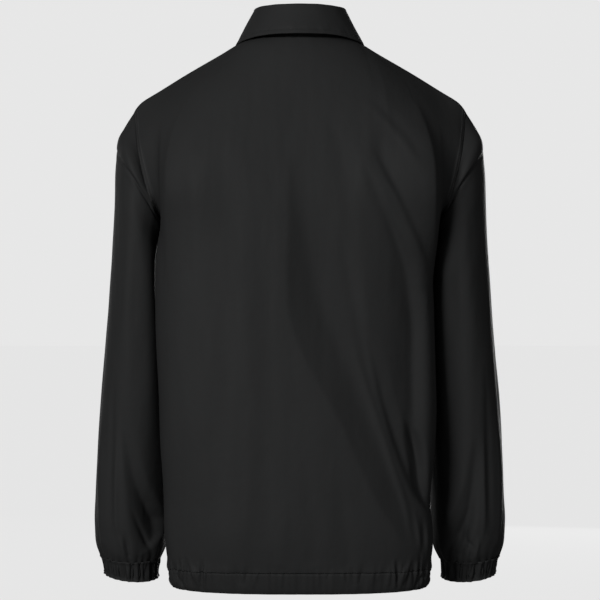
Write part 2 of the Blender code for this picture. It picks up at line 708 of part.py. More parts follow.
def snap(name, seat, facing):
    """A shallow cap that stands just off the lap."""
    mesh = bmesh.new()
    turn = facing.to_track_quat("Z", "Y").to_matrix().to_4x4()
    middle = seat + facing * (SNAP_SEAT + SNAP_HEIGHT / 2)
    bmesh.ops.create_cone(
        mesh,
        cap_ends=True,
        segments=SNAP_SEGMENTS,
        radius1=SNAP_RADIUS,
        radius2=SNAP_CROWN,
        depth=SNAP_HEIGHT,
        matrix=Matrix.Translation(middle) @ turn,
    )
    finished(name, mesh, SNAP_ENAMEL)


JACKET = bpy.data.collections.new("windbreaker")
bpy.context.scene.collection.children.link(JACKET)

cloth_wall("back_panel", back_sheet(), CLOTH)
left_front = front_left_sheet()
cloth_wall("front_left", left_front, CLOTH)
cloth_wall("front_right", front_right_sheet(), CLOTH)
left_sleeve = sleeve_sheet()
cloth_wall("sleeve_left", left_sleeve, CLOTH, closed=True)
cloth_wall("sleeve_right", mirrored_sheet(left_sleeve), CLOTH, closed=True)
cuff("cuff_left", 1.0)
cuff("cuff_right", -1.0)
hem_casings()
collar_stand()
collar_fall()
for number, height in enumerate(np.linspace(SNAP_TOP, SNAP_BOTTOM, SNAP_COUNT), start=1):
    snap(f"snap_{number}", *point_on(left_front, 0.0, height))
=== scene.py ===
import math

import bmesh
import bpy
import numpy as np
from mathutils import Matrix, Vector, noise


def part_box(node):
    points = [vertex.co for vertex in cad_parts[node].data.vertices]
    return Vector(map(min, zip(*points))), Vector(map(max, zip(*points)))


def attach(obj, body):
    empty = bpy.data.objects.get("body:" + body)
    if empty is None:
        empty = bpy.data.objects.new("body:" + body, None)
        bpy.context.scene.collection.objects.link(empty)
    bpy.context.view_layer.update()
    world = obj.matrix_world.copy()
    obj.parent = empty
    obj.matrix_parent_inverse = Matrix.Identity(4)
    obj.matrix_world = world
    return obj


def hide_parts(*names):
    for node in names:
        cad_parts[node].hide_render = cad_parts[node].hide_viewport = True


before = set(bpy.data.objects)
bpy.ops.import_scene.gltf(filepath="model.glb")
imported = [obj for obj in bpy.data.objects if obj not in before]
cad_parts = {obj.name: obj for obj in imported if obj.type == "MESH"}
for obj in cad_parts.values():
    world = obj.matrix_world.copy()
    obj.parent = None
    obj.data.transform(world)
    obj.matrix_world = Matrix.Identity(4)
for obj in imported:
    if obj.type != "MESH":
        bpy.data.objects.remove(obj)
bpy.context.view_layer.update()  # the solids, fixed; metres, +Z up, the wearer's back towards +Y
mm = 0.001
print("frame loaded:", len(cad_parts), "nodes")

jacket = {
    "shell": 0.9 * mm,  # thickness of one layer as shown
    "doubled": 1.5 * mm,  # collar and casings
    "weld": 1e-6,
}


# curves
def smoothStep(value):
    value = np.clip(value, 0.0, 1.0)
    return value * value * (3.0 - 2.0 * value)


def bump(aside, width):
    return np.exp(-((aside / width) ** 2))


def unit(vectors):
    return vectors / np.maximum(np.linalg.norm(vectors, axis=-1, keepdims=True), 1e-12)


def hermite(start, startPull, end, endPull, t):
    t2, t3 = t * t, t * t * t
    leaving = (2 * t3 - 3 * t2 + 1) * start + (t3 - 2 * t2 + t) * startPull
    return leaving + (3 * t2 - 2 * t3) * end + (t3 - t2) * endPull


def through(knots, values, at):  # a smooth curve through values at their knots
    slopes = np.gradient(values, knots, axis=0)
    low = np.clip(np.searchsorted(knots, at) - 1, 0, len(knots) - 2)
    span = knots[low + 1] - knots[low]
    t = np.clip((at - knots[low]) / span, 0.0, 1.0)
    shape = np.shape(t) + (1,) * (values.ndim - 1)
    span, t = np.reshape(span, shape), np.reshape(t, shape)
    return hermite(values[low], slopes[low] * span, values[low + 1], slopes[low + 1] * span, t)


def lengthsAlong(points):
    return np.concatenate([[0.0], np.cumsum(np.linalg.norm(np.diff(points, axis=0), axis=-1))])


def runAlong(points, axis):  # how far each point is from the first row (axis 0) or column (axis 1)
    first = points[:1] if axis == 0 else points[:, :1]
    return np.cumsum(np.linalg.norm(np.diff(points, axis=axis, prepend=first), axis=-1), axis=axis)


def along(points, shares):
    points = np.array(points, float)
    length = lengthsAlong(points)
    return through(length, points, np.asarray(shares) * length[-1])


def stretches(*parts):  # (start, end, steps) one after another
    return np.concatenate([np.linspace(a, b, n, endpoint=False) for a, b, n in parts] + [[parts[-1][1]]])


def facingOf(points, closed=False):  # columns run clockwise from above, rows upward
    if closed:
        ring = np.concatenate([points[:, -1:], points, points[:, :1]], axis=1)
        sideways = np.gradient(ring, axis=1)[:, 1:-1]
    else:
        sideways = np.gradient(points, axis=1)
    return unit(np.cross(np.gradient(points, axis=0), sideways))


def moved(points, facing, depth):
    return points + depth[..., None] * facing


def withX(points, x):
    return np.concatenate([x[..., None], points[..., 1:]], axis=-1)


def noiseAt(places):
    return np.array([noise.noise(Vector(place)) for place in places])


# creases: each is a line of (across, up, width, depth) in mm
creaseLook = {
    "points": 50,  # along each line
    "facetEnd": 8 * mm,  # how soon a facet dies away past its ends
}


def creasePath(line):
    return along(np.array(line, float) * mm, np.linspace(0.0, 1.0, creaseLook["points"]))


def besideLine(a, b, line):  # how far beside a line and past its ends, and its width and depth there
    path = creasePath(line)
    ways = unit(np.gradient(path[:, :2], axis=0))
    far = (a[..., None] - path[:, 0]) ** 2 + (b[..., None] - path[:, 1]) ** 2
    near = far.argmin(axis=-1)
    offA, offB = a - path[near, 0], b - path[near, 1]
    way = ways[near]
    ahead = offA * way[..., 0] + offB * way[..., 1]
    aside = offB * way[..., 0] - offA * way[..., 1]
    step = np.linalg.norm(np.diff(path[:, :2], axis=0), axis=-1).mean()
    place, numbers = near + ahead / step, np.arange(len(path))
    beyond = np.maximum(0.0, np.maximum(-place, place - numbers[-1])) * step
    width, depth = (np.interp(place, numbers, path[:, k]) for k in (2, 3))
    return aside, beyond, width, depth


def levelWithLine(a, b, line):  # the same, but measured straight across a line that only runs downwards
    path = creasePath(line)[::-1]
    across, width, depth = (np.interp(b, path[:, 1], path[:, k]) for k in (0, 2, 3))
    beyond = np.maximum(0.0, np.maximum(path[0, 1] - b, b - path[-1, 1]))
    return a - across, beyond, width, depth


def creaseDepth(a, b, crease):  # a soft trough or ridge; a lean makes one of its sides steeper
    aside, beyond, width, depth = besideLine(a, b, crease["line"])
    width = width * (1.0 - crease.get("lean", 0.0) * np.sign(aside))
    return depth * bump(np.hypot(aside, beyond), np.maximum(width, mm))


def facetDepth(a, b, facet):  # a flat side that falls from a sharp crest, then a rise back over the tail
    beside = levelWithLine if facet.get("level") else besideLine
    aside, beyond, wall, depth = beside(a, b, facet["line"])
    aside = aside * facet["side"]
    crest, trough, tail = (facet[label] * mm for label in ("crest", "trough", "tail"))
    fall = np.logaddexp(0.0, aside / crest) * crest / wall
    turn = np.logaddexp(0.0, (aside - wall) / trough) * trough * (1.0 / wall + 1.0 / tail)
    rest = np.logaddexp(0.0, (aside - wall - tail) / trough) * trough / tail
    return depth * (fall - turn + rest) * bump(beyond, creaseLook["facetEnd"])


def creaseField(a, b, creases):  # a row with a side is a facet; side 1 falls towards greater across
    return sum(facetDepth(a, b, row) if "side" in row else creaseDepth(a, b, row) for row in creases)


def undulation(points, size, seed):  # soft uneven swells; size is the length of one along X, Y and Z
    return noiseAt(points.reshape(-1, 3) / np.array(size) + seed).reshape(points.shape[:2])


def swelled(depth, points, swells, seed):  # adds broad and fine swells: height, size, step of the seed
    for height, size, step in swells:
        depth = depth + height * undulation(points, size, seed + step)
    return depth


# gathers: waves of uneven height whose pitch changes along the seam
gatherLook = {
    "drift": 0.50,  # how far a crest wanders, in waves
    "driftPitch": 0.55,
    "uneven": 0.80,  # how much heights differ from wave to wave
    "unevenPitch": 0.77,
    "round": 0.62,  # under 1 for round crests and narrow valleys
}


def gatherWave(share, table, seed):
    starts = np.array([row["start"] for row in table] + [1.0])
    counts = np.cumsum([0.0] + [row["waves"] for row in table])
    heights = np.array([row["height"] for row in table] + [table[-1]["height"]])
    turns = np.interp(share, starts, counts)
    drift = noiseAt((t * gatherLook["driftPitch"], seed, 3.1) for t in turns)
    uneven = noiseAt((math.floor(t + 0.3) * gatherLook["unevenPitch"], seed, 9.2) for t in turns)
    wave = 0.5 - 0.5 * np.cos(2 * math.pi * (turns + gatherLook["drift"] * drift))
    height = np.interp(share, starts, heights)
    return wave ** gatherLook["round"] * height * (1.0 + gatherLook["uneven"] * uneven)


# pieces
def meshFrom(bm, name):
    mesh = bpy.data.meshes.new(name)
    bm.to_mesh(mesh)
    bm.free()
    return mesh


def addPiece(name, mesh, material, node=None, thickness=0.0):
    mesh.shade_smooth()
    mesh.materials.append(material)
    piece = bpy.data.objects.new(name, mesh)
    bpy.context.scene.collection.objects.link(piece)
    if thickness:
        wall = piece.modifiers.new("wall", "SOLIDIFY")
        wall.thickness = thickness
        wall.offset = -1.0  # the mesh is the cloth's outer face
    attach(piece, "root")
    if node:
        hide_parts(node)
    return piece


def clothPiece(name, node, points, kind, closed=False):
    if closed:
        points = np.concatenate([points, points[:, :1]], axis=1)
    rows, columns = points.shape[:2]
    bm = bmesh.new()
    bm.loops.layers.uv.new("cut")
    bmesh.ops.create_grid(bm, x_segments=columns - 1, y_segments=rows - 1, size=0.5, calc_uvs=True)
    mesh = bpy.data.meshes.new(name)
    bm.to_mesh(mesh)
    mesh.vertices.foreach_set("co", points.astype(np.float32).ravel())
    corners = np.empty(len(mesh.loops), np.int32)
    mesh.loops.foreach_get("vertex_index", corners)
    flat = np.stack([runAlong(points, 1), runAlong(points, 0)], axis=-1)  # the cut's own metres
    flat = flat.reshape(-1, 2)[corners]
    mesh.uv_layers["cut"].data.foreach_set("uv", flat.astype(np.float32).ravel())
    bm.clear()
    bm.from_mesh(mesh)
    bmesh.ops.reverse_faces(bm, faces=bm.faces[:])
    if closed:
        bmesh.ops.remove_doubles(bm, verts=bm.verts[:], dist=jacket["weld"])
    bm.to_mesh(mesh)
    bm.free()
    thickness, material, slotName = clothKinds[kind]
    piece = addPiece(name, mesh, material, node, thickness)
    print("cloth", name, rows, "x", columns)
    return piece


# nylon and thread
nylon = {
    "dark": (0.0245, 0.0250, 0.0252),
    "light": (0.0305, 0.0310, 0.0312),
    "roughness": (0.60, 0.72),
    "glossSpan": (0.3, 0.7),  # of the streaks, spread over that roughness
    "specular": 0.09,
    "thread": 0.42 * mm,  # pitch of the plain weave
    "weaveDepth": 0.03 * mm,
    "weaveStrength": 0.5,
    "crinkleScale": 85.0,
    "streakStretch": (46.0, 46.0, 7.0),
    "toneStretch": (14.0, 14.0, 5.0),
}
nylonKinds = {  # shade, depth of crinkles and of streaks in mm
    "shellNylon": (1.0, 0.40, 0.55),
    "gatheredNylon": (0.90, 0.30, 0.25),
}
sewing = {"lustre": 900.0, "roughness": 0.5, "black": (0.009, 0.022), "grey": (0.016, 0.120)}


def newGroup(name, inputs, outputs):
    tree = bpy.data.node_groups.new(name, "ShaderNodeTree")
    for way, sockets in (("INPUT", inputs), ("OUTPUT", outputs)):
        for label, kind in sockets.items():
            tree.interface.new_socket(label, in_out=way, socket_type="NodeSocket" + kind)
    return tree, tree.nodes.new("NodeGroupInput"), tree.nodes.new("NodeGroupOutput")


def groupNode(tree, group, values):
    node = tree.nodes.new("ShaderNodeGroup")
    node.node_tree = group
    for label, value in values.items():
        node.inputs[label].default_value = value
    return node


def mathNode(tree, operation, a, b=None):
    node = tree.nodes.new("ShaderNodeMath")
    node.operation = operation
    tree.links.new(a, node.inputs[0])
    if b is not None:
        tree.links.new(b, node.inputs[1])
    return node.outputs[0]


def noiseNode(tree, vector, scale, detail, stretch=None):
    if stretch:
        turn = tree.nodes.new("ShaderNodeMapping")
        turn.inputs["Scale"].default_value = stretch
        tree.links.new(vector, turn.inputs["Vector"])
        vector = turn.outputs["Vector"]
    node = tree.nodes.new("ShaderNodeTexNoise")
    node.inputs["Scale"].default_value = scale
    node.inputs["Detail"].default_value = detail
    tree.links.new(vector, node.inputs["Vector"])
    return node.outputs["Fac"]


def rangeNode(tree, value, span, fromSpan=(0.0, 1.0)):
    node = tree.nodes.new("ShaderNodeMapRange")
    for label, number in zip(("From Min", "From Max", "To Min", "To Max"), (*fromSpan, *span)):
        node.inputs[label].default_value = number
    tree.links.new(value, node.inputs["Value"])
    return node.outputs["Result"]


def bumpNode(tree, height, strength, distance, normal=None):
    node = tree.nodes.new("ShaderNodeBump")
    node.inputs["Strength"].default_value = strength
    node.inputs["Distance"].default_value = distance
    tree.links.new(height, node.inputs["Height"])
    if normal is not None:
        tree.links.new(normal, node.inputs["Normal"])
    return node.outputs["Normal"]


def weaveGroup():  # plain weave in the cut's own metres
    tree, given, out = newGroup("plainWeave", {"Cut": "Vector", "Threads": "Float"}, {"Height": "Float"})
    split = tree.nodes.new("ShaderNodeSeparateXYZ")
    tree.links.new(given.outputs["Cut"], split.inputs[0])
    waves = []
    for axis in ("X", "Y"):
        turns = mathNode(tree, "MULTIPLY", split.outputs[axis], given.outputs["Threads"])
        waves.append(mathNode(tree, "SINE", turns))
    tree.links.new(mathNode(tree, "MULTIPLY", *waves), out.inputs["Height"])
    return tree


def crinkleGroup():  # small crinkles and long soft streaks left by wear and packing
    tree, given, out = newGroup(
        "nylonCrinkle",
        {"Place": "Vector", "Crinkle": "Float", "Streak": "Float"},
        {"Height": "Float", "Tone": "Float", "Gloss": "Float"},
    )
    place = given.outputs["Place"]
    fine = noiseNode(tree, place, nylon["crinkleScale"], 3.0)
    streak = noiseNode(tree, place, 1.0, 2.0, nylon["streakStretch"])
    broad = noiseNode(tree, place, 1.0, 2.0, nylon["toneStretch"])
    crinkles = mathNode(tree, "MULTIPLY", fine, given.outputs["Crinkle"])
    streaks = mathNode(tree, "MULTIPLY", streak, given.outputs["Streak"])
    tree.links.new(mathNode(tree, "ADD", crinkles, streaks), out.inputs["Height"])
    tree.links.new(broad, out.inputs["Tone"])
    tree.links.new(streak, out.inputs["Gloss"])
    return tree


def newMaterial(name):
    material = bpy.data.materials.new(name)
    material.use_nodes = True
    return material, material.node_tree.nodes["Principled BSDF"]


def tintBase(tree, shader, factor, dark, light):
    tint = tree.nodes.new("ShaderNodeMix")
    tint.data_type = "RGBA"
    tint.inputs["A"].default_value = (*dark, 1.0)
    tint.inputs["B"].default_value = (*light, 1.0)
    tree.links.new(factor, tint.inputs["Factor"])
    tree.links.new(tint.outputs["Result"], shader.inputs["Base Color"])


weave, crinkle = weaveGroup(), crinkleGroup()


def nylonMaterial(name, shade, crinkleDepth, streakDepth):
    material, shader = newMaterial(name)
    tree = material.node_tree
    coords = tree.nodes.new("ShaderNodeTexCoord")
    threads = groupNode(tree, weave, {"Threads": math.pi / nylon["thread"]})
    tree.links.new(coords.outputs["UV"], threads.inputs["Cut"])
    folds = groupNode(tree, crinkle, {"Crinkle": crinkleDepth, "Streak": streakDepth})
    tree.links.new(coords.outputs["Object"], folds.inputs["Place"])
    relief = bumpNode(tree, folds.outputs["Height"], 1.0, mm)
    relief = bumpNode(tree, threads.outputs["Height"], nylon["weaveStrength"], nylon["weaveDepth"], relief)
    tree.links.new(relief, shader.inputs["Normal"])
    dark, light = ([shade * c for c in nylon[tone]] for tone in ("dark", "light"))
    tintBase(tree, shader, folds.outputs["Tone"], dark, light)
    gloss = rangeNode(tree, folds.outputs["Gloss"], nylon["roughness"], nylon["glossSpan"])
    tree.links.new(gloss, shader.inputs["Roughness"])
    shader.inputs["Specular IOR Level"].default_value = nylon["specular"]
    return material


def threadMaterial(name, dark, light):
    material, shader = newMaterial(name)
    tree = material.node_tree
    coords = tree.nodes.new("ShaderNodeTexCoord")
    lustre = noiseNode(tree, coords.outputs["Object"], sewing["lustre"], 2.0)
    tintBase(tree, shader, lustre, (dark, dark, dark), (light, light, light))
    shader.inputs["Roughness"].default_value = sewing["roughness"]
    return material


shellNylon, gatheredNylon = (nylonMaterial(name, *kind) for name, kind in nylonKinds.items())
blackThread, greyThread = (threadMaterial(tone + "Thread", *sewing[tone]) for tone in ("black", "grey"))
clothKinds = {  # thickness, material, slot
    "shell": (jacket["shell"], shellNylon, "shell_cloth"),
    "collar": (jacket["doubled"], shellNylon, "shell_cloth"),
    "casing": (jacket["doubled"], gatheredNylon, "gathered_cloth"),
}
print("nylon and thread ready")

# the body's cut
body = {
    "hemEdge": -0.725,
    "hemSag": 0.003,  # at the centre back
    "hemSeam": -0.7005,
    "denseBelow": -0.675,  # rows lie closer together over the hem
    "underarm": -0.245,
    "widestY": 0.030,
    "backSquare": 2.8,
    "frontSquare": 2.15,
    "sideSeamY": -0.012,
    "chestSteps": 400,
    "lap": 0.018,
    "lapPart": 17,  # across runs from -1 / 17 at the lap's edge to 1 at the side seam
    "lapLayer": 2.7 * mm,
    "lapBlend": 0.030,
    "neckHalf": 0.073,
    "neckBack": 0.062,
    "neckFront": 0.088,
    "neckTop": 0.003,
    "neckBackDrop": 0.0034,
    "neckFrontDrop": 0.063,
    "shoulderBow": 0.009,
    "shoulderCorner": 0.18,
    "cornerPower": 14,  # how close to the shoulder point the corner rises
    "shoulderSteps": 11,  # the roll starts to change one step out from the neck
    "chestRise": 0.20,
    "shoulderLift": 0.030,
    "shoulderPoint": (0.2220, -0.0040, -0.0940),
}
bodySections = np.array([  # height, left half, right half, back, front
    (-0.725, 0.1680, 0.1670, 0.1000, 0.112),
    (-0.697, 0.1735, 0.1720, 0.1060, 0.118),
    (-0.660, 0.1790, 0.1780, 0.1130, 0.126),
    (-0.600, 0.1815, 0.1800, 0.1165, 0.130),
    (-0.540, 0.1850, 0.1825, 0.1175, 0.133),
    (-0.450, 0.1875, 0.1800, 0.1180, 0.135),
    (-0.360, 0.1910, 0.1775, 0.1190, 0.137),
    (-0.290, 0.1905, 0.1765, 0.1195, 0.137),
    (-0.245, 0.1850, 0.1850, 0.1200, 0.136),
])
backCut = {  # how the back rolls over to the neck and shoulders, and its armhole edge
    "start": 0.0,
    "neckShare": 7 / 18,
    "neckPull": (0.0, -0.075, 0.090),
    "rollAtNeck": -0.270,
    "rollAtArm": -0.150,
    "fan": 0.085,
    "edgeShare": 0.0,
    "armhole": [(0.1975, 0.0480, -0.2120), (0.2115, 0.0430, -0.1600)],
}
frontCut = {
    "start": math.pi,
    "neckShare": 6 / 17,
    "neckPull": (0.0, 0.050, 0.120),
    "rollAtNeck": 0.150,
    "rollAtArm": 0.150,
    "fan": 0.0,
    "edgeShare": 1 / 18,
    "armhole": [(0.1900, -0.0680, -0.2120), (0.2060, -0.0520, -0.1550)],
}


def bodyColumn(column, height):
    return through(bodySections[:, 0], bodySections[:, column], height)


def bodySection(height, angle):  # angle 0 is the centre back, pi / 2 the left side
    sine, cosine = np.sin(angle), np.cos(angle)
    behind = cosine >= 0
    power = 2.0 / np.where(behind, body["backSquare"], body["frontSquare"])
    half = np.where(sine >= 0, bodyColumn(1, height), bodyColumn(2, height))
    reach = np.where(behind, bodyColumn(3, height), -bodyColumn(4, height)) - body["widestY"]
    x = half * np.sign(sine) * np.abs(sine) ** power
    y = body["widestY"] + reach * np.abs(cosine) ** power
    return np.stack([x, y, np.broadcast_to(height, np.shape(x))], axis=-1)


def sideSeamAngle():
    share = (body["widestY"] - body["sideSeamY"]) / (bodyColumn(4, body["underarm"]) + body["widestY"])
    return math.pi - math.acos(share ** (body["frontSquare"] / 2.0))


def lapSine(across, half):  # how far the lap passes the centre front, as a share of a half width
    return np.clip(-across * body["lapPart"], 0.0, 1.0) * body["lap"] / half


def chestAngles(across, start):  # equal steps along the chest; below 0 is the lap
    fine = np.linspace(start, sideSeamAngle(), body["chestSteps"])
    length = lengthsAlong(bodySection(body["underarm"], fine))
    lapX = lapSine(across, bodyColumn(1, body["underarm"]))
    lapTurn = np.arcsin(lapX ** (body["frontSquare"] / 2.0))
    return np.interp(np.clip(across, 0, 1) * length[-1], length, fine) + lapTurn


def underLap(x):  # 1 where the right front runs behind the left one
    return smoothStep((x + body["lap"] + body["lapBlend"]) / body["lapBlend"])


def neckLine(angle):
    sine, cosine = np.sin(angle), np.cos(angle)
    behind = cosine >= 0
    y = np.where(behind, body["neckBack"], body["neckFront"]) * cosine
    z = body["neckTop"] - np.where(behind, body["neckBackDrop"], body["neckFrontDrop"]) * cosine**2
    return np.stack([body["neckHalf"] * sine, y, z], axis=-1)


def shoulderLine(share):
    start = neckLine(math.pi / 2)
    bow = body["shoulderBow"] * 4.0 * share * share * (1.0 - share)
    bow = bow + body["shoulderCorner"] * share ** body["cornerPower"] * (1.0 - share)
    line = start + (np.array(body["shoulderPoint"]) - start) * share[:, None]
    return line + bow[:, None] * np.array([0.0, 0.0, 1.0])


def armholeHalf(cut, shares):  # from the underarm (0) to the shoulder (1)
    under = bodySection(body["underarm"], sideSeamAngle())
    return along([under, *cut["armhole"], body["shoulderPoint"]], shares)


def bodyHalf(cut, across, heights, shares):
    angles = chestAngles(across, cut["start"])
    lap = np.arcsin(lapSine(across, body["neckHalf"]))
    toCorner = np.clip(across / cut["neckShare"], 0.0, 1.0) * math.pi / 2
    neckAngle = toCorner if cut["start"] == 0 else math.pi + lap - toCorner
    onShoulder = np.clip((across - cut["neckShare"]) / (1.0 - cut["neckShare"]), 0.0, 1.0)
    tops = np.where((onShoulder > 0)[:, None], shoulderLine(onShoulder), neckLine(neckAngle))
    over = np.where(onShoulder > 0, 1.0, 1.0 - np.abs(np.cos(neckAngle)))[:, None]
    steps = body["shoulderSteps"]
    toArm = np.clip((onShoulder * steps - 1) / (steps - 1), 0.0, 1.0)
    roll = cut["rollAtNeck"] + (cut["rollAtArm"] - cut["rollAtNeck"]) * toArm
    shoulderPull = np.stack([cut["fan"] * (toArm - 1.0), roll, 0 * roll + body["shoulderLift"]], axis=-1)
    pull = np.array(cut["neckPull"]) * (1.0 - over) + shoulderPull * over
    lower = np.array([bodySection(height, angles) for height in heights])
    rise = np.array([0.0, 0.0, body["chestRise"]])
    upper = np.array([hermite(lower[-1], rise, tops, pull, share) for share in shares])
    reach = np.clip(across * (1.0 - cut["edgeShare"]) + cut["edgeShare"], 0.0, 1.0) ** 2
    toEdge = armholeHalf(cut, shares) - upper[:, -1]
    upper = upper + toEdge[:, None, :] * reach[None, :, None]
    return np.concatenate([lower, upper[1:]])


easing = {"rows": 9.0, "weight": 0.5, "edges": 3, "passes": 70}  # edges: columns left as they are


def softened(points):  # eases the change from straight side to shoulder at the underarm row
    rows = np.arange(len(points)) - (lowerCount - 1)
    weight = easing["weight"] * bump(rows, easing["rows"])[:, None, None]
    weight = weight * np.ones(points.shape[1])[None, :, None]
    weight[:, :easing["edges"]] = 0.0
    weight[:, -easing["edges"]:] = 0.0
    for step in range(easing["passes"]):
        even = (points[:-2] + points[2:]) / 2
        inner = points[1:-1] + (even - points[1:-1]) * weight[1:-1]
        points = np.concatenate([points[:1], inner, points[-1:]])
    return points


def otherSide(points):
    return (points * np.array([-1.0, 1.0, 1.0]))[:, ::-1]


def fitRight(points):  # the right side hangs a little closer
    x, z = points[..., 0], np.minimum(points[..., 2], body["underarm"])
    return withX(points, np.where(x < 0, x * bodyColumn(2, z) / bodyColumn(1, z), x))


def fromEdge(points, last):  # how far each point is from the panel's first or last column
    return runAlong(points[:, ::-1], 1)[:, ::-1] if last else runAlong(points, 1)


panelRows = {
    "heights": stretches(
        (body["hemSeam"], body["denseBelow"], 16),
        (body["denseBelow"], body["underarm"], 98),
    ),
    "shares": stretches((0.0, 1.0, 66)),
}
lowerCount = len(panelRows["heights"])
panelAcross = stretches((0.0, 0.40, 38), (0.40, 0.82, 58), (0.82, 0.95, 10), (0.95, 1.0, 14))
lapAcross = stretches((-1 / body["lapPart"], 0.0, 12))[:-1]

hemGathers = [  # waves from the centre to the side seam
    {"start": 0.0, "waves": 6, "height": 0.6 * mm},
    {"start": 0.62, "waves": 5, "height": 1.2 * mm},
    {"start": 0.80, "waves": 6, "height": 1.6 * mm},
]
hemPuckerZones = [  # short creases through the stitch line; shares as above, the rest in mm
    {"from": 0.02, "to": 0.46, "pitch": 13.0, "depth": 1.2, "up": 13.0, "down": 17.0},
    {"from": 0.46, "to": 0.82, "pitch": 4.6, "depth": 2.6, "up": 19.0, "down": 23.0},
    {"from": 0.82, "to": 0.98, "pitch": 8.0, "depth": 1.4, "up": 12.0, "down": 17.0},
]
hemSewing = {
    "width": 250.0,  # mm, centre to side seam
    "reach": 14 * mm,  # how far gathers run up from the hem
    "reachUneven": 0.8,
    "reachPitch": 31,
    "onPanel": 0.8,  # of the casing's waves
    "top": 0.045,  # over the seam; the short creases are worked out below this
    "uneven": 0.8 * mm,
    "unevenPitch": 44,
    "sunk": 0.4 * mm,
    "pitches": (0.5, 1.5),  # ranges that each short crease is drawn from
    "lengths": (0.4, 1.2),
    "depths": (0.5, 1.2),
    "widths": (1.7, 3.1),
    "slants": (-0.45, 0.45),
    "ridges": 0.55,  # the share that stands out
}
seamLook = {
    "ridge": 0.6 * mm,  # the seam allowance under the panel's edge
    "ridgeWidth": 9.0 * mm,
    "ridgeEase": 1.0 * mm,
    "groove": 0.40 * mm,
    "grooveWidth": 1.1 * mm,
    "rows": (1.8 * mm, 7.6 * mm),  # double topstitching
    "ripple": 0.9 * mm,  # uneven puckers between them
    "rippleAt": 4.6 * mm,
    "rippleWidth": 4.0 * mm,
    "rippleSize": (0.0045, 0.0045, 0.0045),
    "rippleSeed": 12.0,
    "over": 1.2 * mm,  # the panel's edge laps the sleeve
    "underarmRun": 0.12,  # the share of the armhole over which its seam comes up
    "dip": 0.6 * mm,  # the stitched valley over a casing
    "dipWidth": 1.2 * mm,
    "quietRows": 4.0,  # over which creases fade in from a panel's top and bottom
}


def armholeRows(points):  # 1 beside the armhole, 0 below the underarm
    up = np.clip((np.arange(len(points)) - lowerCount + 1) / (len(points) - lowerCount), 0.0, 1.0)
    return smoothStep(up / seamLook["underarmRun"])[:, None]


def armholeRidge(points, last):
    edge = fromEdge(points, last)
    ease = seamLook["ridgeEase"]
    lift = seamLook["ridge"] * smoothStep((seamLook["ridgeWidth"] + ease - edge) / (2 * ease))
    for row in seamLook["rows"]:
        lift = lift - seamLook["groove"] * bump(edge - row, seamLook["grooveWidth"])
    ripple = undulation(points, seamLook["rippleSize"], seamLook["rippleSeed"])
    ripple = ripple * bump(edge - seamLook["rippleAt"], seamLook["rippleWidth"])
    return (lift + seamLook["ripple"] * ripple) * armholeRows(points)


def lappedEdge(points, last):  # takes the armhole edge a little over the sleeve
    points = points.copy()
    column, inner = (-1, -2) if last else (0, 1)
    points[:, column] += seamLook["over"] * armholeRows(points) * unit(points[:, column] - points[:, inner])
    return points


def puckerLines(seed):  # across is the share times the panel's width at the hem
    draw = np.random.default_rng(seed)
    seam, wide, lines = body["hemSeam"] / mm, hemSewing["width"], []
    for zone in hemPuckerZones:
        at = zone["from"] * wide
        while at < zone["to"] * wide:
            at += zone["pitch"] * draw.uniform(*hemSewing["pitches"])
            up = zone["up"] * draw.uniform(*hemSewing["lengths"])
            down = zone["down"] * draw.uniform(*hemSewing["lengths"])
            depth = zone["depth"] * draw.uniform(*hemSewing["depths"])
            depth *= 1 if draw.uniform() < hemSewing["ridges"] else -1
            width, slant = draw.uniform(*hemSewing["widths"]), draw.uniform(*hemSewing["slants"])
            lines.append({"line": [
                (at + 0.5 * slant * up, seam + up, width, 0.05 * depth),
                (at, seam + 1.0, width, depth),
                (at - slant * down, seam - down, 1.4 * width, 0.5 * depth),
            ]})
    return lines


def hemPuckers(share, heights, seed):  # shared by a panel's bottom edge and its casing
    uneven = noiseAt((s * hemSewing["unevenPitch"], seed, 7.5) for s in share)
    wave = gatherWave(share, hemGathers, seed) + hemSewing["uneven"] * uneven - hemSewing["sunk"]
    across = np.broadcast_to(share * hemSewing["width"] * mm, heights.shape)
    return wave[None, :], creaseField(across, heights, puckerLines(int(seed * 10)))


def hemPucker(points, share, seed):
    up = points[..., 2] - body["hemSeam"]
    low = int((up.min(axis=1) < hemSewing["top"]).sum())  # only the rows beside the hem
    uneven = noiseAt((s * hemSewing["reachPitch"], seed, 0.5) for s in share)
    reach = hemSewing["reach"] * (1.0 + hemSewing["reachUneven"] * uneven)
    wave, puckers = hemPuckers(share, points[:low, :, 2], seed)
    depth = wave * np.exp(-np.maximum(up, 0) / reach[None, :]) * hemSewing["onPanel"]
    depth[:low] += puckers
    return depth - seamLook["dip"] * bump(up, seamLook["dipWidth"])


def quietEdges(points, width):  # creases die away towards a panel's seams
    edge = np.minimum(fromEdge(points, False), fromEdge(points, True))
    rows = np.arange(len(points))
    ends = np.minimum(rows, rows[::-1])[:, None]
    return smoothStep(edge / width) * smoothStep(ends / seamLook["quietRows"])


def dressedPanel(points, share, facing, armholes, look):  # True for an armhole at the last column
    depth = creaseField(points[..., 0], points[..., 2], look["creases"])
    depth = swelled(depth, points, look["swells"], look["swellSeed"]) * quietEdges(points, look["quiet"])
    depth = depth + hemPucker(points, share, look["seed"])
    for last in armholes:
        depth = depth + armholeRidge(points, last)
    points = moved(points, facing, depth)
    for last in armholes:
        points = lappedEdge(points, last)
    return points


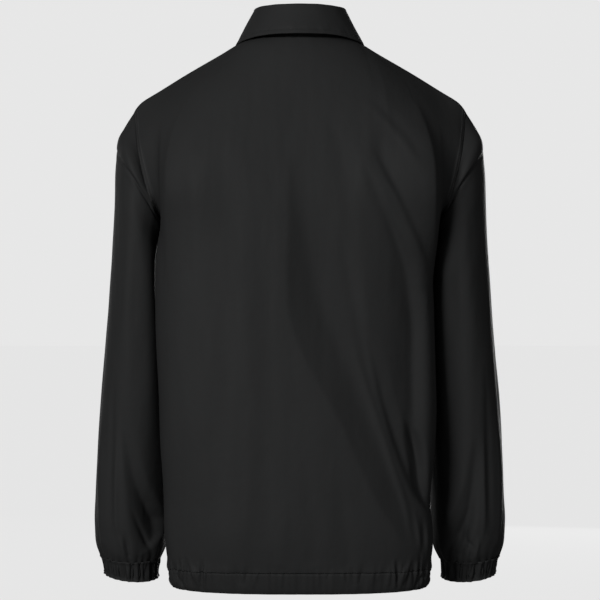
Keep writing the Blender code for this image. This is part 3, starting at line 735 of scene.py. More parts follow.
# back
backCreases = [  # photo left is +X, and each line runs downwards
    {"line": [(14, -158, 3, -0.2), (15, -205, 10, -4.0), (16, -265, 23, -10.0), (17, -325, 36, -15.0),
              (14, -365, 46, -17.0), (5, -395, 50, -17.5), (-8, -425, 49, -17.0), (-24, -455, 45, -16.5),
              (-52, -505, 38, -15.0), (-77, -562, 37, -14.0), (-99, -606, 33, -12.0), (-121, -642, 20, -6.5),
              (-136, -668, 10, -0.8)], "level": True, "side": -1, "tail": 100, "crest": 1.0, "trough": 4.0},
    {"line": [(-76, -205, 16, -0.8), (-80, -270, 46, -9.0), (-86, -350, 62, -18.0), (-94, -430, 58, -19.0),
              (-110, -510, 42, -13.0), (-130, -575, 24, -5.0), (-146, -630, 12, -0.5)],
     "level": True, "side": -1, "tail": 16, "crest": 2.5, "trough": 2.5},
    {"line": [(-84, -390, 4, -0.4), (-95, -438, 5, -3.0), (-104, -477, 6, -4.8), (-122, -536, 7, -6.0),
              (-138, -577, 8, -6.0), (-156, -610, 7, -4.5), (-172, -624, 5, -0.8)],
     "side": -1, "tail": 16, "crest": 0.7, "trough": 1.2},
    {"line": [(-137, -503, 5, -1.0), (-138, -528, 16, -11.0), (-143, -554, 17, -14.5),
              (-153, -596, 13, -11.5), (-169, -624, 6, -1.0)],
     "level": True, "side": -1, "tail": 9, "crest": 0.8, "trough": 1.5},
    {"line": [(-68, -400, 4, 0.2), (-83, -450, 4.5, 1.5), (-104, -510, 4.5, 2.1), (-122, -564, 4.5, 2.1),
              (-139, -616, 4.5, 1.7), (-146, -662, 4, 0.3)]},
    {"line": [(-152, -624, 3, 0.3), (-156, -652, 3.5, 1.8), (-160, -682, 3, 0.6)]},
    {"line": [(-163, -630, 3, -0.3), (-162, -656, 3.5, -2.2), (-157, -684, 3, -0.8)]},
    {"line": [(-169, -638, 3, 0.2), (-168, -660, 3, 1.6), (-166, -684, 3, 0.5)]},
    {"line": [(-168, -120, 60, -0.5), (-172, -160, 66, -7.0), (-174, -200, 52, -11.0),
              (-175, -240, 36, -11.0), (-175, -275, 19, -5.0), (-174, -310, 9, -0.6)],
     "level": True, "side": 1, "tail": 18, "crest": 2.5, "trough": 2.0},
    {"line": [(-150, -88, 18, 0.5), (-160, -118, 24, 6.0), (-168, -156, 28, 11.0), (-171, -198, 29, 13.0),
              (-171, -240, 28, 11.5), (-170, -285, 25, 7.0), (-168, -335, 18, 0.8)], "lean": -0.7},
    {"line": [(152, -92, 18, 0.4), (163, -124, 22, 3.0), (170, -160, 24, 5.5), (172, -205, 24, 6.5),
              (172, -250, 23, 5.0), (172, -310, 18, 0.6)], "lean": 0.7},
    {"line": [(-92, -152, 4, 0.2), (-106, -180, 5.5, 2.4), (-126, -216, 6, 3.8), (-145, -258, 6, 3.4),
              (-158, -292, 5.5, 1.8), (-166, -322, 5, 0.3)]},
    {"line": [(-84, -172, 6, -0.5), (-97, -200, 7, -2.8), (-115, -236, 8, -3.8), (-132, -278, 8, -3.0),
              (-146, -318, 7, -0.8)]},
    {"line": [(-84, -72, 8, -0.2), (-110, -105, 10, -1.4), (-138, -138, 10, -1.7), (-163, -166, 8, -0.3)]},
    {"line": [(-88, -88, 5, 0.2), (-110, -112, 6, 1.9), (-132, -138, 6, 2.1), (-152, -172, 5, 0.3)]},
    {"line": [(-38, -105, 8, -0.2), (-50, -150, 10, -1.5), (-58, -195, 11, -1.7), (-62, -250, 8, -0.3)]},
    {"line": [(-72, -130, 7, 0.2), (-80, -180, 8, 0.9), (-86, -230, 7, 0.2)]},
    {"line": [(-54, -260, 6, -0.2), (-66, -330, 8, -1.6), (-81, -400, 8, -1.8), (-113, -515, 6, -0.3)]},
    {"line": [(98, -170, 14, -0.3), (97, -380, 17, -1.6), (101, -590, 14, -0.5)]},
    {"line": [(126, -200, 14, 0.3), (122, -400, 16, 1.2), (124, -600, 13, 0.4)]},
    {"line": [(72, -250, 13, 0.3), (68, -430, 15, 1.1), (70, -640, 12, 0.4)]},
    {"line": [(46, -280, 12, -0.3), (42, -470, 14, -1.3), (50, -650, 12, -0.6)]},
    {"line": [(160, -520, 14, -0.4), (164, -604, 17, -2.4), (160, -660, 12, -0.8)]},
    {"line": [(-10, -560, 9, -0.3), (-16, -620, 11, -1.5), (-18, -680, 9, -0.9)]},
    {"line": [(24, -585, 8, 0.2), (22, -640, 9, 1.3), (24, -685, 8, 0.8)]},
    {"line": [(-52, -600, 8, -0.2), (-60, -650, 9, -1.3), (-62, -686, 7, -0.8)]},
    {"line": [(182, -116, 3, -0.3), (183, -140, 5, -4.0), (183, -175, 6, -6.4), (182, -215, 6, -6.4),
              (181, -245, 5, -3.4), (180, -268, 4, -0.3)],
     "side": 1, "tail": 26, "crest": 0.7, "trough": 1.6},
    {"line": [(-183, -116, 3, -0.2), (-184, -140, 5, -1.6), (-184, -175, 6, -2.6), (-183, -215, 6, -2.6),
              (-180, -245, 5, -1.6), (-177, -268, 4, -0.2)],
     "side": -1, "tail": 26, "crest": 0.7, "trough": 1.6},
]
backLook = {
    "creases": backCreases,
    "swells": [(0.9 * mm, (0.045, 0.2, 0.16), 0.0), (0.35 * mm, (0.014, 0.1, 0.05), 7.0)],
    "swellSeed": 4.0,
    "quiet": 12 * mm,
    "seed": 1.7,
    "straighten": (0.4, 1.0, 1.0),  # creases near the sides go in more from behind
}

backHalf = bodyHalf(backCut, panelAcross, **panelRows)
backBase = softened(fitRight(np.concatenate([otherSide(backHalf)[:, :-1], backHalf], axis=1)))
backFacing = unit(facingOf(backBase) * np.array(backLook["straighten"]))
backShare = np.concatenate([panelAcross[:0:-1], panelAcross])
backPoints = dressedPanel(backBase, backShare, backFacing, (False, True), backLook)
back = clothPiece("back", "back_panel", backPoints, "shell")

# fronts
leftFrontCreases = [
    {"line": [(150, -170, 12, -0.6), (118, -300, 15, -3.6), (90, -420, 13, -1.0)]},
    {"line": [(88, -320, 12, 0.6), (98, -480, 15, 2.8), (116, -640, 12, 0.8)]},
    {"line": [(52, -290, 10, -0.5), (54, -470, 13, -2.4), (62, -640, 10, -0.8)]},
    {"line": [(135, -150, 8, 0.4), (112, -230, 10, 1.6), (98, -320, 8, 0.4)]},
    {"line": [(150, -420, 10, -0.4), (146, -540, 12, -2.0), (140, -650, 9, -0.8)]},
    {"line": [(60, -120, 9, -0.3), (86, -190, 11, -1.4), (120, -240, 8, -0.4)]},
]
rightFrontCreases = [
    {"line": [(-145, -180, 12, -0.6), (-120, -320, 15, -3.6), (-100, -460, 12, -0.8)]},
    {"line": [(-72, -350, 12, 0.6), (-88, -510, 15, 2.8), (-106, -650, 12, 0.8)]},
    {"line": [(-62, -170, 10, -0.4), (-58, -300, 12, -2.2), (-54, -430, 10, -0.5)]},
    {"line": [(-140, -240, 8, 0.4), (-132, -380, 10, 1.8), (-140, -520, 8, 0.5)]},
    {"line": [(-50, -520, 9, -0.4), (-46, -600, 11, -1.6), (-48, -670, 8, -0.7)]},
    {"line": [(-66, -110, 9, -0.3), (-92, -170, 11, -1.3), (-128, -215, 8, -0.4)]},
]


def frontLook(creases, seed):
    return {
        "creases": creases,
        "swells": [(0.9 * mm, (0.045, 0.2, 0.15), 0.0), (0.35 * mm, (0.014, 0.1, 0.05), 5.0)],
        "swellSeed": seed,
        "quiet": 14 * mm,
        "seed": seed,
    }


leftLook, rightLook = frontLook(leftFrontCreases, 2.4), frontLook(rightFrontCreases, 7.8)
frontAcross = np.concatenate([lapAcross, panelAcross])
leftBase = softened(bodyHalf(frontCut, frontAcross, **panelRows)[:, ::-1])  # from the side seam to the lap
leftShare = np.clip(frontAcross, 0.0, 1.0)[::-1]
leftFacing = facingOf(leftBase)
leftPoints = dressedPanel(leftBase, leftShare, leftFacing, (False,), leftLook)
rightBase = fitRight(otherSide(leftBase))
rightFacing = facingOf(rightBase)
rightPoints = dressedPanel(rightBase, leftShare[::-1], rightFacing, (True,), rightLook)
rightPoints = moved(rightPoints, rightFacing, -body["lapLayer"] * underLap(rightBase[..., 0]))
frontLeft = clothPiece("frontLeft", "front_left", leftPoints, "shell")
frontRight = clothPiece("frontRight", "front_right", rightPoints, "shell")

# sleeves
sleeve = {
    "rows": 184,
    "columns": 168,
    "ease": 0.35,
    "clearance": 2.0 * mm,
    "clearanceRun": 0.030,
    "follow": 0.8,  # how far its inside follows the narrower right side of the body
    "closer": 1.5 * mm,
    "gap": 0.5 * mm,
    "girth": 0.060,  # radius used to lay creases round the arm
    "swells": [(1.0 * mm, (0.03, 0.03, 0.14), 0.0), (0.4 * mm, (0.012, 0.012, 0.05), 3.0)],
    "inside": (185.0, 40.0),  # turn and width, in degrees, of the calm strip beside the body
    "insideCalm": 0.75,
    "quietRows": (5.0, 8.0),  # at the head and over the cuff
    "tuck": 0.2 * mm,
    "tuckRows": 3.0,
    "cuffPucker": 13 * mm,
    "cuffPuckerUneven": 0.9,
    "onSleeve": 0.8,  # of the cuff's waves
    "slack": {"Left": 7.0 * mm, "Right": 13.0 * mm},  # how far the inner back hangs out
    "slackTop": -0.250,
    "slackFoot": -0.590,
    "slackRuns": (0.07, 0.13),  # over which it starts and ends
}
sleeveRings = np.array([  # outer x, outer z, inner x, inner z, middle y, half depth, lean
    (0.2415, -0.1250, 0.1840, -0.2530, -0.014, 0.0690, 0.00),
    (0.2470, -0.1600, 0.1870, -0.2680, -0.019, 0.0710, 0.00),
    (0.2500, -0.2220, 0.1870, -0.2920, -0.026, 0.0720, 0.00),
    (0.2590, -0.3510, 0.1830, -0.3680, -0.038, 0.0680, 0.03),
    (0.2706, -0.4800, 0.1800, -0.4850, -0.047, 0.0630, 0.07),
    (0.2783, -0.6080, 0.1800, -0.6080, -0.056, 0.0600, 0.11),
    (0.2798, -0.6500, 0.1810, -0.6520, -0.060, 0.0580, 0.13),
    (0.2766, -0.6795, 0.1850, -0.6825, -0.063, 0.0520, 0.14),
    (0.2705, -0.6940, 0.1935, -0.6980, -0.064, 0.0425, 0.15),
])
casing = {"turnUnder": 1.6 * mm, "turnShare": 0.10}  # the lower edge of cuffs and hem
cuff = {
    "edge": (0.2660, -0.7170, 0.1955, -0.7245, -0.067, 0.0400, 0.15),
    "waves": 24,
    "height": 3.2 * mm,
    "tallest": 4.4 * mm,
    "sunk": 1.0 * mm,
    "rows": 20,
    "points": 12,  # round one wave
    "runUp": 0.12,  # inside the sleeve, as a share of the height
    "swell": 0.7 * mm,
    "pull": (0.80, 0.30),  # of the waves at the edges, and more in the middle
    "behind": 1.4 * mm,
    "behindShare": 0.07,
    "dipShare": 0.06,
    "slits": 32,
    "slitDepth": 2.4 * mm,
    "slitSteps": (-0.4, 0.4),  # ranges that each slit is drawn from
    "slitSlants": (-0.08, 0.08),
    "slitMiddles": (0.1, 0.9),
    "slitReaches": (0.25, 0.7),
    "slitShares": (-1.0, 0.2),
    "slitWidths": (0.025, 0.05),
    "deepSlits": [  # turn in degrees, depth in mm, slant, middle
        (28, -3.4, 0.05, 0.45), (37, -3.8, -0.04, 0.40), (52, -2.6, 0.06, 0.55), (66, -3.6, -0.05, 0.50),
        (74, -2.2, 0.04, 0.30), (88, -3.8, 0.05, 0.45), (97, -2.8, -0.06, 0.60), (112, -3.2, 0.03, 0.50),
    ],
    "deepWidth": 0.024,
    "deepReach": 0.42,
    "calm": 0.65,  # how much gathers flatten at the lower edge
    "calmEdge": 0.35,  # and over what share of the height
}
sleeveCreases = [  # turn in degrees times the girth goes across; 0 outside, 90 back, 180 inside
    {"line": [(24, -149, 2.5, -0.1), (46, -160, 3.5, -0.8), (70, -176, 4, -2.8), (90, -192, 4, -3.8),
              (115, -212, 4, -3.6), (136, -229, 3.5, -2.0), (152, -242, 3, -0.3)],
     "side": -1, "tail": 36, "crest": 1.0, "trough": 1.4},
    {"line": [(1, -142, 2.4, -0.5), (20, -150, 2.6, -1.6), (46, -163, 2.6, -2.2), (70, -179, 2.5, -3.2),
              (90, -195, 2.5, -3.4), (115, -215, 2.4, -3.2), (136, -232, 2.4, -2.0), (152, -245, 2.2, -0.3)]},
    {"line": [(40, -138, 9, 0.3), (70, -160, 9, 1.3), (100, -186, 8, 1.4), (128, -208, 7, 0.4)]},
    {"line": [(62, -112, 4, -0.3), (74, -130, 5, -1.1), (80, -150, 4, -0.4)]},
    {"line": [(94, -628, 4, -0.4), (108, -652, 5, -2.4), (124, -676, 5, -2.6), (132, -690, 4, -0.8)]},
    {"line": [(84, -662, 3.5, -0.6), (87, -676, 4, -3.4), (90, -690, 3.5, -2.4)]},
    {"line": [(78, -664, 3, 0.3), (80, -678, 3, 1.8), (83, -692, 3, 1.0)]},
    {"line": [(30, -500, 7, 0.5), (34, -590, 9, 2.8), (42, -672, 7, 1.4)]},
    {"line": [(54, -440, 6, -0.4), (56, -530, 7, -2.2), (58, -610, 6, -2.0), (60, -660, 5, -0.6)]},
    {"line": [(66, -530, 3.5, 0.4), (68, -590, 4, 2.0), (70, -640, 4, 2.0), (74, -672, 3.5, 0.6)]},
    {"line": [(12, -300, 8, -0.4), (14, -430, 10, -1.8), (10, -560, 9, -1.6), (16, -660, 7, -0.8)]},
    {"line": [(78, -250, 10, 0.4), (74, -340, 13, 1.6), (80, -440, 10, 0.4)]},
    {"line": [(250, -340, 10, -1.0), (275, -400, 13, -4.8), (300, -465, 10, -1.0)]},
    {"line": [(288, -545, 9, -1.0), (275, -620, 12, -5.2), (264, -680, 8, -2.0)]},
    {"line": [(235, -300, 8, 0.4), (262, -360, 10, 2.2), (292, -420, 8, 0.5)]},
    {"line": [(325, -470, 8, 0.4), (318, -570, 10, 2.2), (310, -665, 7, 0.8)]},
]
sleeveWedges = {  # the slack that folds over the cuff
    "Left": {"line": [(72, -505, 5, -0.5), (76, -547, 11, -4.5), (83, -594, 19, -9.0), (87, -629, 40, -15.0),
                      (92, -658, 56, -18.0), (99, -682, 46, -10.0), (104, -694, 24, -1.0)],
             "side": 1, "tail": 18, "crest": 1.5, "trough": 2.5},
    "Right": {"line": [(84, -530, 5, -0.5), (91, -560, 11, -4.5), (101, -596, 17, -9.0),
                       (117, -627, 29, -15.0), (134, -652, 42, -17.0), (142, -680, 36, -9.0),
                       (146, -694, 20, -1.0)],
              "side": -1, "tail": 12, "crest": 1.5, "trough": 2.5},
}


def ringPoints(ring, turn):  # turn 0 is the outside of the arm, pi / 2 its back, pi its inside
    outerX, outerZ, innerX, innerZ, middleY, halfDepth, lean = ring
    middle = np.array([outerX + innerX, 2 * middleY, outerZ + innerZ]) / 2
    outward = np.array([outerX - innerX, 0.0, outerZ - innerZ]) / 2
    backward = np.array([0.0, halfDepth, -lean * halfDepth])
    return middle + np.cos(turn)[:, None] * outward + np.sin(turn)[:, None] * backward


def sideAt(y, z, column):  # the body's left side is column 1, its right side column 2
    behind = y >= body["widestY"]
    power = np.where(behind, body["backSquare"], body["frontSquare"])
    reach = np.where(behind, bodyColumn(3, z) - body["widestY"], bodyColumn(4, z) + body["widestY"])
    share = np.abs(y - body["widestY"]) / reach
    return bodyColumn(column, z) * np.clip(1.0 - share**power, 0.0, 1.0) ** (1.0 / power)


def clearOfBody(points, column):
    x, y, z = (points[..., k] for k in range(3))
    depth = smoothStep((body["underarm"] - z) / sleeve["clearanceRun"])
    limit = sideAt(y, np.minimum(z, body["underarm"]), column) + sleeve["clearance"] * depth
    return withX(points, np.where(z < body["underarm"], np.maximum(x, limit), x))


def slackBehind(points, turn, lift):
    inner = np.where((turn > math.pi / 2) & (turn < math.pi), np.sin(2 * turn) ** 2, 0.0)
    z, (start, end) = points[..., 2], sleeve["slackRuns"]
    reach = smoothStep((sleeve["slackTop"] - z) / start) * smoothStep((z - sleeve["slackFoot"]) / end)
    return points + (lift * reach * inner)[..., None] * np.array([0.0, 1.0, 0.0])


def sleeveGrid(side, seed, column):
    turn = np.linspace(0.0, 2 * math.pi, sleeve["columns"], endpoint=False)
    byBack = armholeHalf(backCut, np.clip(1.0 - turn / math.pi, 0.0, 1.0))
    byFront = armholeHalf(frontCut, np.clip(turn / math.pi - 1.0, 0.0, 1.0))
    top = np.where((turn <= math.pi)[:, None], byBack, byFront)
    rings = sleeveRings.copy()
    below = np.minimum(rings[:, 3], body["underarm"])
    rings[:, 2] -= sleeve["follow"] * (bodyColumn(1, below) - bodyColumn(column, below)) + sleeve["closer"]
    sections = np.array([top] + [ringPoints(ring, turn) for ring in rings])
    steps = np.linalg.norm(np.diff(sections, axis=0), axis=-1).mean(axis=1)
    knots = np.concatenate([[0.0], np.cumsum(steps)])
    even = np.linspace(0.0, 1.0, sleeve["rows"] + 1)
    eased = even - sleeve["ease"] * np.sin(2 * math.pi * even) / (2 * math.pi)
    points = through(knots, sections, eased * knots[-1])
    points = clearOfBody(slackBehind(points, turn, sleeve["slack"][side]), column)
    facing = facingOf(points, closed=True)
    around = np.degrees(turn)[None, :] + 0 * points[..., 2]
    acrossArm = np.radians(around) * sleeve["girth"]
    creases = []
    for crease in sleeveCreases + [sleeveWedges[side]]:
        line = [(math.radians(a) * sleeve["girth"] / mm, z, w, d) for a, z, w, d in crease["line"]]
        creases.append({**crease, "line": line})
    depth = swelled(creaseField(acrossArm, points[..., 2], creases), points, sleeve["swells"], seed)
    insideTurn, insideWidth = sleeve["inside"]
    inside = 1.0 - sleeve["insideCalm"] * bump(around - insideTurn, insideWidth)  # stays off the body
    rows = np.arange(len(points))[:, None]
    head, foot = sleeve["quietRows"]
    depth = depth * inside * smoothStep(rows / head) * smoothStep((len(points) - 1 - rows) / foot)
    toCuff = (eased[-1] - eased) * knots[-1]
    gathers = [{"start": 0.0, "waves": cuff["waves"], "height": cuff["height"]}]
    wave = gatherWave(turn / (2 * math.pi), gathers, seed)
    uneven = noiseAt((math.cos(t) * 3, math.sin(t) * 3, seed) for t in turn)
    reach = sleeve["cuffPucker"] * (1.0 + sleeve["cuffPuckerUneven"] * uneven[None, :])
    depth = depth + sleeve["onSleeve"] * (wave[None, :] - cuff["sunk"]) * np.exp(-toCuff[:, None] / reach)
    depth = depth - seamLook["dip"] * bump(toCuff, seamLook["dipWidth"])[:, None]
    depth = depth - sleeve["tuck"] * np.exp(-rows / sleeve["tuckRows"])
    points = moved(points, facing, depth)
    return points + np.array([sleeve["gap"], 0.0, 0.0]), wave


def cuffSlits(turn, down, seed):  # short uneven creases, some slanted
    draw = np.random.default_rng(int(seed * 10))
    depth = np.zeros((len(down), len(turn)))
    for slit in range(cuff["slits"]):
        at = 2 * math.pi * (slit + draw.uniform(*cuff["slitSteps"])) / cuff["slits"]
        slant, middle = draw.uniform(*cuff["slitSlants"]), draw.uniform(*cuff["slitMiddles"])
        reach = draw.uniform(*cuff["slitReaches"])
        way = (turn[None, :] - at - slant * (down[:, None] - 0.5) + math.pi) % (2 * math.pi) - math.pi
        deep = cuff["slitDepth"] * draw.uniform(*cuff["slitShares"])
        depth += deep * bump(way, draw.uniform(*cuff["slitWidths"])) * bump(down[:, None] - middle, reach)
    for degrees, deep, slant, middle in cuff["deepSlits"]:
        way = turn[None, :] - math.radians(degrees) - slant * (down[:, None] - 0.5)
        depth += deep * mm * bump(way, cuff["deepWidth"]) * bump(down[:, None] - middle, cuff["deepReach"])
    return depth


def fuller(down, least, more):  # least at a casing's edges, more in its middle
    return least + more * np.sin(math.pi * np.clip(down, 0.0, 1.0))


def casingSwell(down, swell):
    return fuller(down, 0.0, swell) - casing["turnUnder"] * bump(1.0 - down, casing["turnShare"])


def cuffGrid(wave, seed):
    turn = np.linspace(0.0, 2 * math.pi, cuff["waves"] * cuff["points"], endpoint=False)
    top, edge = ringPoints(sleeveRings[-1], turn), ringPoints(cuff["edge"], turn)
    down = np.linspace(-cuff["runUp"], 1.0, cuff["rows"] + 1)
    points = np.array([top + (edge - top) * share for share in down])
    facing = facingOf(points[::-1], closed=True)[::-1]
    swell = casingSwell(down, cuff["swell"]) - seamLook["dip"] * bump(down, cuff["dipShare"])
    swell = swell - cuff["behind"] * smoothStep(-down / cuff["behindShare"])
    around = np.linspace(0.0, 2 * math.pi, len(wave), endpoint=False)
    lift = np.minimum(np.interp(turn, around, wave, period=2 * math.pi), cuff["tallest"])
    pull = fuller(down, *cuff["pull"])
    gathers = (lift - cuff["sunk"])[None, :] * pull[:, None] + cuffSlits(turn, down, seed)
    calm = 1.0 - cuff["calm"] * smoothStep((down - 1.0 + cuff["calmEdge"]) / cuff["calmEdge"])
    return moved(points, facing, gathers * calm[:, None] + swell[:, None])[::-1]


sleevePoints = {}
for side, seed, column in (("Left", 5.2, 1), ("Right", 8.9, 2)):
    armPoints, wave = sleeveGrid(side, seed, column)
    cuffPoints = cuffGrid(wave, seed)
    if side == "Right":
        armPoints, cuffPoints = otherSide(armPoints), otherSide(cuffPoints)
    node = side.lower()
    arm = clothPiece("sleeve" + side, "sleeve_" + node, armPoints, "shell", True)
    band = clothPiece("cuff" + side, "cuff_" + node, cuffPoints, "casing", True)
    sleevePoints[side] = armPoints

# hem casings
hem = {
    "swell": 0.5 * mm,
    "pull": (0.80, 0.25),
    "tuck": 2.5 * mm,
    "behind": 1.6 * mm,
    "behindRun": 1.5 * mm,
    "rows": stretches((1.0, 0.2, 14), (0.2, 0.0, 8)),
    "sideLap": np.array([0.003, 0.014]),  # angles by which the back casing runs behind the fronts'
    "sideLapDepth": 1.8 * mm,
    "lapLayer": 3.2 * mm,
}


def hemGrid(angles, share, seed, layer):  # rows upward; the top runs up behind the panel
    down = hem["rows"]
    edge = body["hemEdge"] - body["hemSag"] * np.clip(np.cos(angles), 0.0, 1.0) ** 2
    top = body["hemSeam"] + hem["tuck"]
    points = np.array([bodySection(top + (edge - top) * d, angles) for d in down])
    facing = unit(facingOf(points) * np.array([1.0, 1.0, 0.0]))
    below = (hem["tuck"] + body["hemSeam"] - body["hemEdge"]) * down - hem["tuck"]  # past the seam
    swell = casingSwell(down, hem["swell"]) - seamLook["dip"] * bump(below, seamLook["dipWidth"])
    swell = swell - hem["behind"] * smoothStep(-below / hem["behindRun"])
    pull = fuller(down, *hem["pull"])
    wave, puckers = hemPuckers(share, points[..., 2], seed)
    return moved(points, facing, wave * pull[:, None] + puckers + swell[:, None] - layer[None, :])


hemShare = stretches((0.0, 0.60, 120), (0.60, 1.0, 160))
halfAngles = chestAngles(hemShare, 0.0)
halfAngles = np.concatenate([halfAngles, halfAngles[-1] + hem["sideLap"]])
halfShare = np.concatenate([hemShare, np.ones(len(hem["sideLap"]))])
backAngles = np.concatenate([-halfAngles[:0:-1], halfAngles])
backShare = np.concatenate([halfShare[:0:-1], halfShare])
sideLayer = hem["sideLapDepth"] * (np.abs(backAngles) > sideSeamAngle() + hem["sideLap"][0] / 2)
frontAcross = np.concatenate([lapAcross, hemShare])
frontAngles = chestAngles(frontAcross, math.pi)
frontShare = np.clip(frontAcross, 0.0, 1.0)
lapLayer = hem["lapLayer"] * underLap(bodySection(body["hemSeam"], -frontAngles)[:, 0])
hemBackPoints = hemGrid(backAngles, backShare, backLook["seed"], sideLayer)
hemLeftPoints = hemGrid(frontAngles[::-1], frontShare[::-1], leftLook["seed"], 0 * frontShare)
hemRightPoints = hemGrid(-frontAngles, frontShare, rightLook["seed"], lapLayer)
hemBack = clothPiece("hemBack", "hem_back", hemBackPoints, "casing")
hemLeft = clothPiece("hemLeft", "hem_left", hemLeftPoints, "casing")
hemRight = clothPiece("hemRight", "hem_right", hemRightPoints, "casing")

# collar
collar = {
    "standTop": 0.0375,
    "standFrontTop": -0.0340,
    "sideLean": 0.0160,
    "backLean": 0.0060,
    "end": 0.050,
    "foldRadius": 3.6 * mm,
    "foldRise": 1.8 * mm,
    "wall": 2.0 * mm,  # the solid's wall, which sets the roll's place
    "gap": 0.9 * mm,
    "tuck": 4.0 * mm,  # the stand's seam allowance, behind the body
    "tuckIn": 1.2 * mm,
    "setIn": 7.0 * mm,  # the stand's foot, in the shade of the fall
    "drop": (0.0372, 0.0452, 0.0560),  # back, side, front
    "flare": (0.40, 0.53, 0.95),
    "spread": 0.17,
    "columns": 221,
    "standRows": 12,
    "rollSteps": 14,
    "fallRows": 30,
    "stitchUp": 6.5 * mm,
    "groove": 0.45 * mm,
    "grooveWidth": 1.6 * mm,
    "pucker": 0.8 * mm,
    "puckerSize": (0.007, 0.007, 0.03),
    "puckerWidth": 6 * mm,
    "soft": 0.7 * mm,
    "softSize": (0.022, 0.022, 0.04),
    "softRun": 5 * mm,
}
collarAngles = np.linspace(-math.pi + collar["end"], math.pi - collar["end"], collar["columns"])


def radial(angle):
    return np.stack([np.sin(angle), np.cos(angle), np.zeros(len(angle))], axis=-1)


def standTop(angle):
    sine, cosine = np.sin(angle), np.cos(angle)
    seam = neckLine(angle)
    lean = collar["backLean"] + (collar["sideLean"] - collar["backLean"]) * sine**2
    fall = (collar["standTop"] - collar["standFrontTop"]) * np.where(cosine >= 0, 0.0, cosine**2)
    top = collar["standTop"] - fall
    return np.concatenate([(seam - lean[:, None] * radial(angle))[:, :2], top[:, None]], axis=-1)


def collarColumn(name, angle):
    back, side, front = collar[name]
    behind = np.cos(angle) >= 0
    share = np.where(behind, 1.0 - np.sin(angle) ** 4, np.cos(angle) ** 2)
    return side + (np.where(behind, back, front) - side) * share


def standGrid():
    seam, outward = neckLine(collarAngles), radial(collarAngles)
    tucked = seam - collar["tuck"] * np.array([0.0, 0.0, 1.0]) - collar["tuckIn"] * outward
    top = standTop(collarAngles)
    foot = seam + np.array([0.0, 0.0, collar["gap"]]) - collar["setIn"] * outward
    shares = np.linspace(0.0, 1.0, collar["standRows"])
    return np.array([tucked] + [foot + (top - foot) * share for share in shares])


def fallGrid():
    angle = collarAngles
    outward, up = radial(angle), np.array([0.0, 0.0, 1.0])
    neckSide = standTop(angle) + collar["gap"] * up - collar["wall"] * outward
    middle = neckSide + collar["foldRadius"] * outward
    rows = [neckSide]
    for roll in np.linspace(math.pi, 0.0, collar["rollSteps"] + 1):
        rise = collar["foldRise"] + collar["foldRadius"] * math.sin(roll)
        rows.append(middle + collar["foldRadius"] * math.cos(roll) * outward + rise * up)
    hang = rows[-1]
    front = smoothStep((np.abs(angle) - math.pi / 2) / (math.pi / 2))
    for share in np.linspace(0.0, 1.0, collar["fallRows"] + 1)[1:]:
        turned = angle * (1.0 - collar["spread"] * share * front)
        drop = share * collarColumn("drop", angle)
        flare = drop * collarColumn("flare", angle)
        out = 2 * collar["foldRadius"] - collar["wall"] + flare
        lower = standTop(turned) + out[:, None] * radial(turned)
        rows.append(np.concatenate([lower[:, :2], (hang[:, 2] - drop)[:, None]], axis=-1))
    return np.array(rows)[::-1]


def dressedFall():
    points = fallGrid()
    ends = np.minimum(fromEdge(points, False), fromEdge(points, True))
    edge = np.minimum(runAlong(points, 0), ends)
    offStitch = edge - collar["stitchUp"]
    pucker = collar["pucker"] * undulation(points, collar["puckerSize"], 6.0)
    soft = collar["soft"] * undulation(points, collar["softSize"], 2.0)
    depth = -collar["groove"] * bump(offStitch, collar["grooveWidth"])
    depth = depth + pucker * bump(offStitch, collar["puckerWidth"])
    depth = depth + soft * smoothStep(edge / collar["softRun"])
    return moved(points, facingOf(points), depth)


standPoints, fallPoints = standGrid(), dressedFall()
stand = clothPiece("collarStand", "collar_stand", standPoints, "collar")
fall = clothPiece("collarFall", "collar_fall", fallPoints, "collar")

# topstitching
stitch = {
    "pitch": 3.0 * mm,
    "length": 2.3 * mm,
    "width": 0.55 * mm,
    "height": 0.45 * mm,
    "lift": 0.10,  # mm off the cloth
    "sides": 6,
    "rings": 4,
    "overCasing": 1.5 * mm,
    "placket": (3.0 * mm, 34.0 * mm),  # from the lap's edge
    "underarmRows": 3,  # left plain at the foot of the armhole
    "endRows": 2,  # and at the ends of the placket
}


def stitchLine(bm, line, facing):
    length = lengthsAlong(line)
    count = int(length[-1] / stitch["pitch"])
    size = Matrix.Diagonal((stitch["length"] / 2, stitch["width"] / 2, stitch["height"] / 2, 1.0))
    for number in range(count):
        at = (number + 0.5) * length[-1] / count
        low = min(int(np.searchsorted(length, at)), len(line) - 1)
        step = line[low] - line[low - 1]
        way = Vector(unit(step))
        side = Vector(unit(facing[low])).cross(way).normalized()
        place = line[low - 1] + step * (at - length[low - 1]) / (length[low] - length[low - 1])
        turn = Matrix((way, side, way.cross(side))).transposed().to_4x4()
        seat = Matrix.Translation(Vector(place)) @ turn @ size
        bmesh.ops.create_uvsphere(
            bm, u_segments=stitch["sides"], v_segments=stitch["rings"], radius=1.0, matrix=seat
        )


def rowLine(points, facing, edge, distance):  # the line at one distance from an edge, row by row
    line = []
    for row, out, gaps in zip(points, facing, edge):
        order = np.argsort(gaps)
        line.append([np.interp(distance, gaps[order], column[order]) for column in (*row.T, *out.T)])
    line = np.array(line)
    return line[:, :3], line[:, 3:]


def columnLine(points, facing, distance):  # the line at one distance up from the first row
    return rowLine(points.swapaxes(0, 1), facing.swapaxes(0, 1), runAlong(points, 0).T, distance)


def stitchPiece(name, lines, thread=blackThread):
    bm = bmesh.new()
    for line, facing in lines:
        stitchLine(bm, line + facing * stitch["lift"] * mm, facing)
    mesh = meshFrom(bm, name)
    addPiece(name, mesh, thread)
    print("stitches", name, len(mesh.polygons) // (stitch["sides"] * stitch["rings"]))


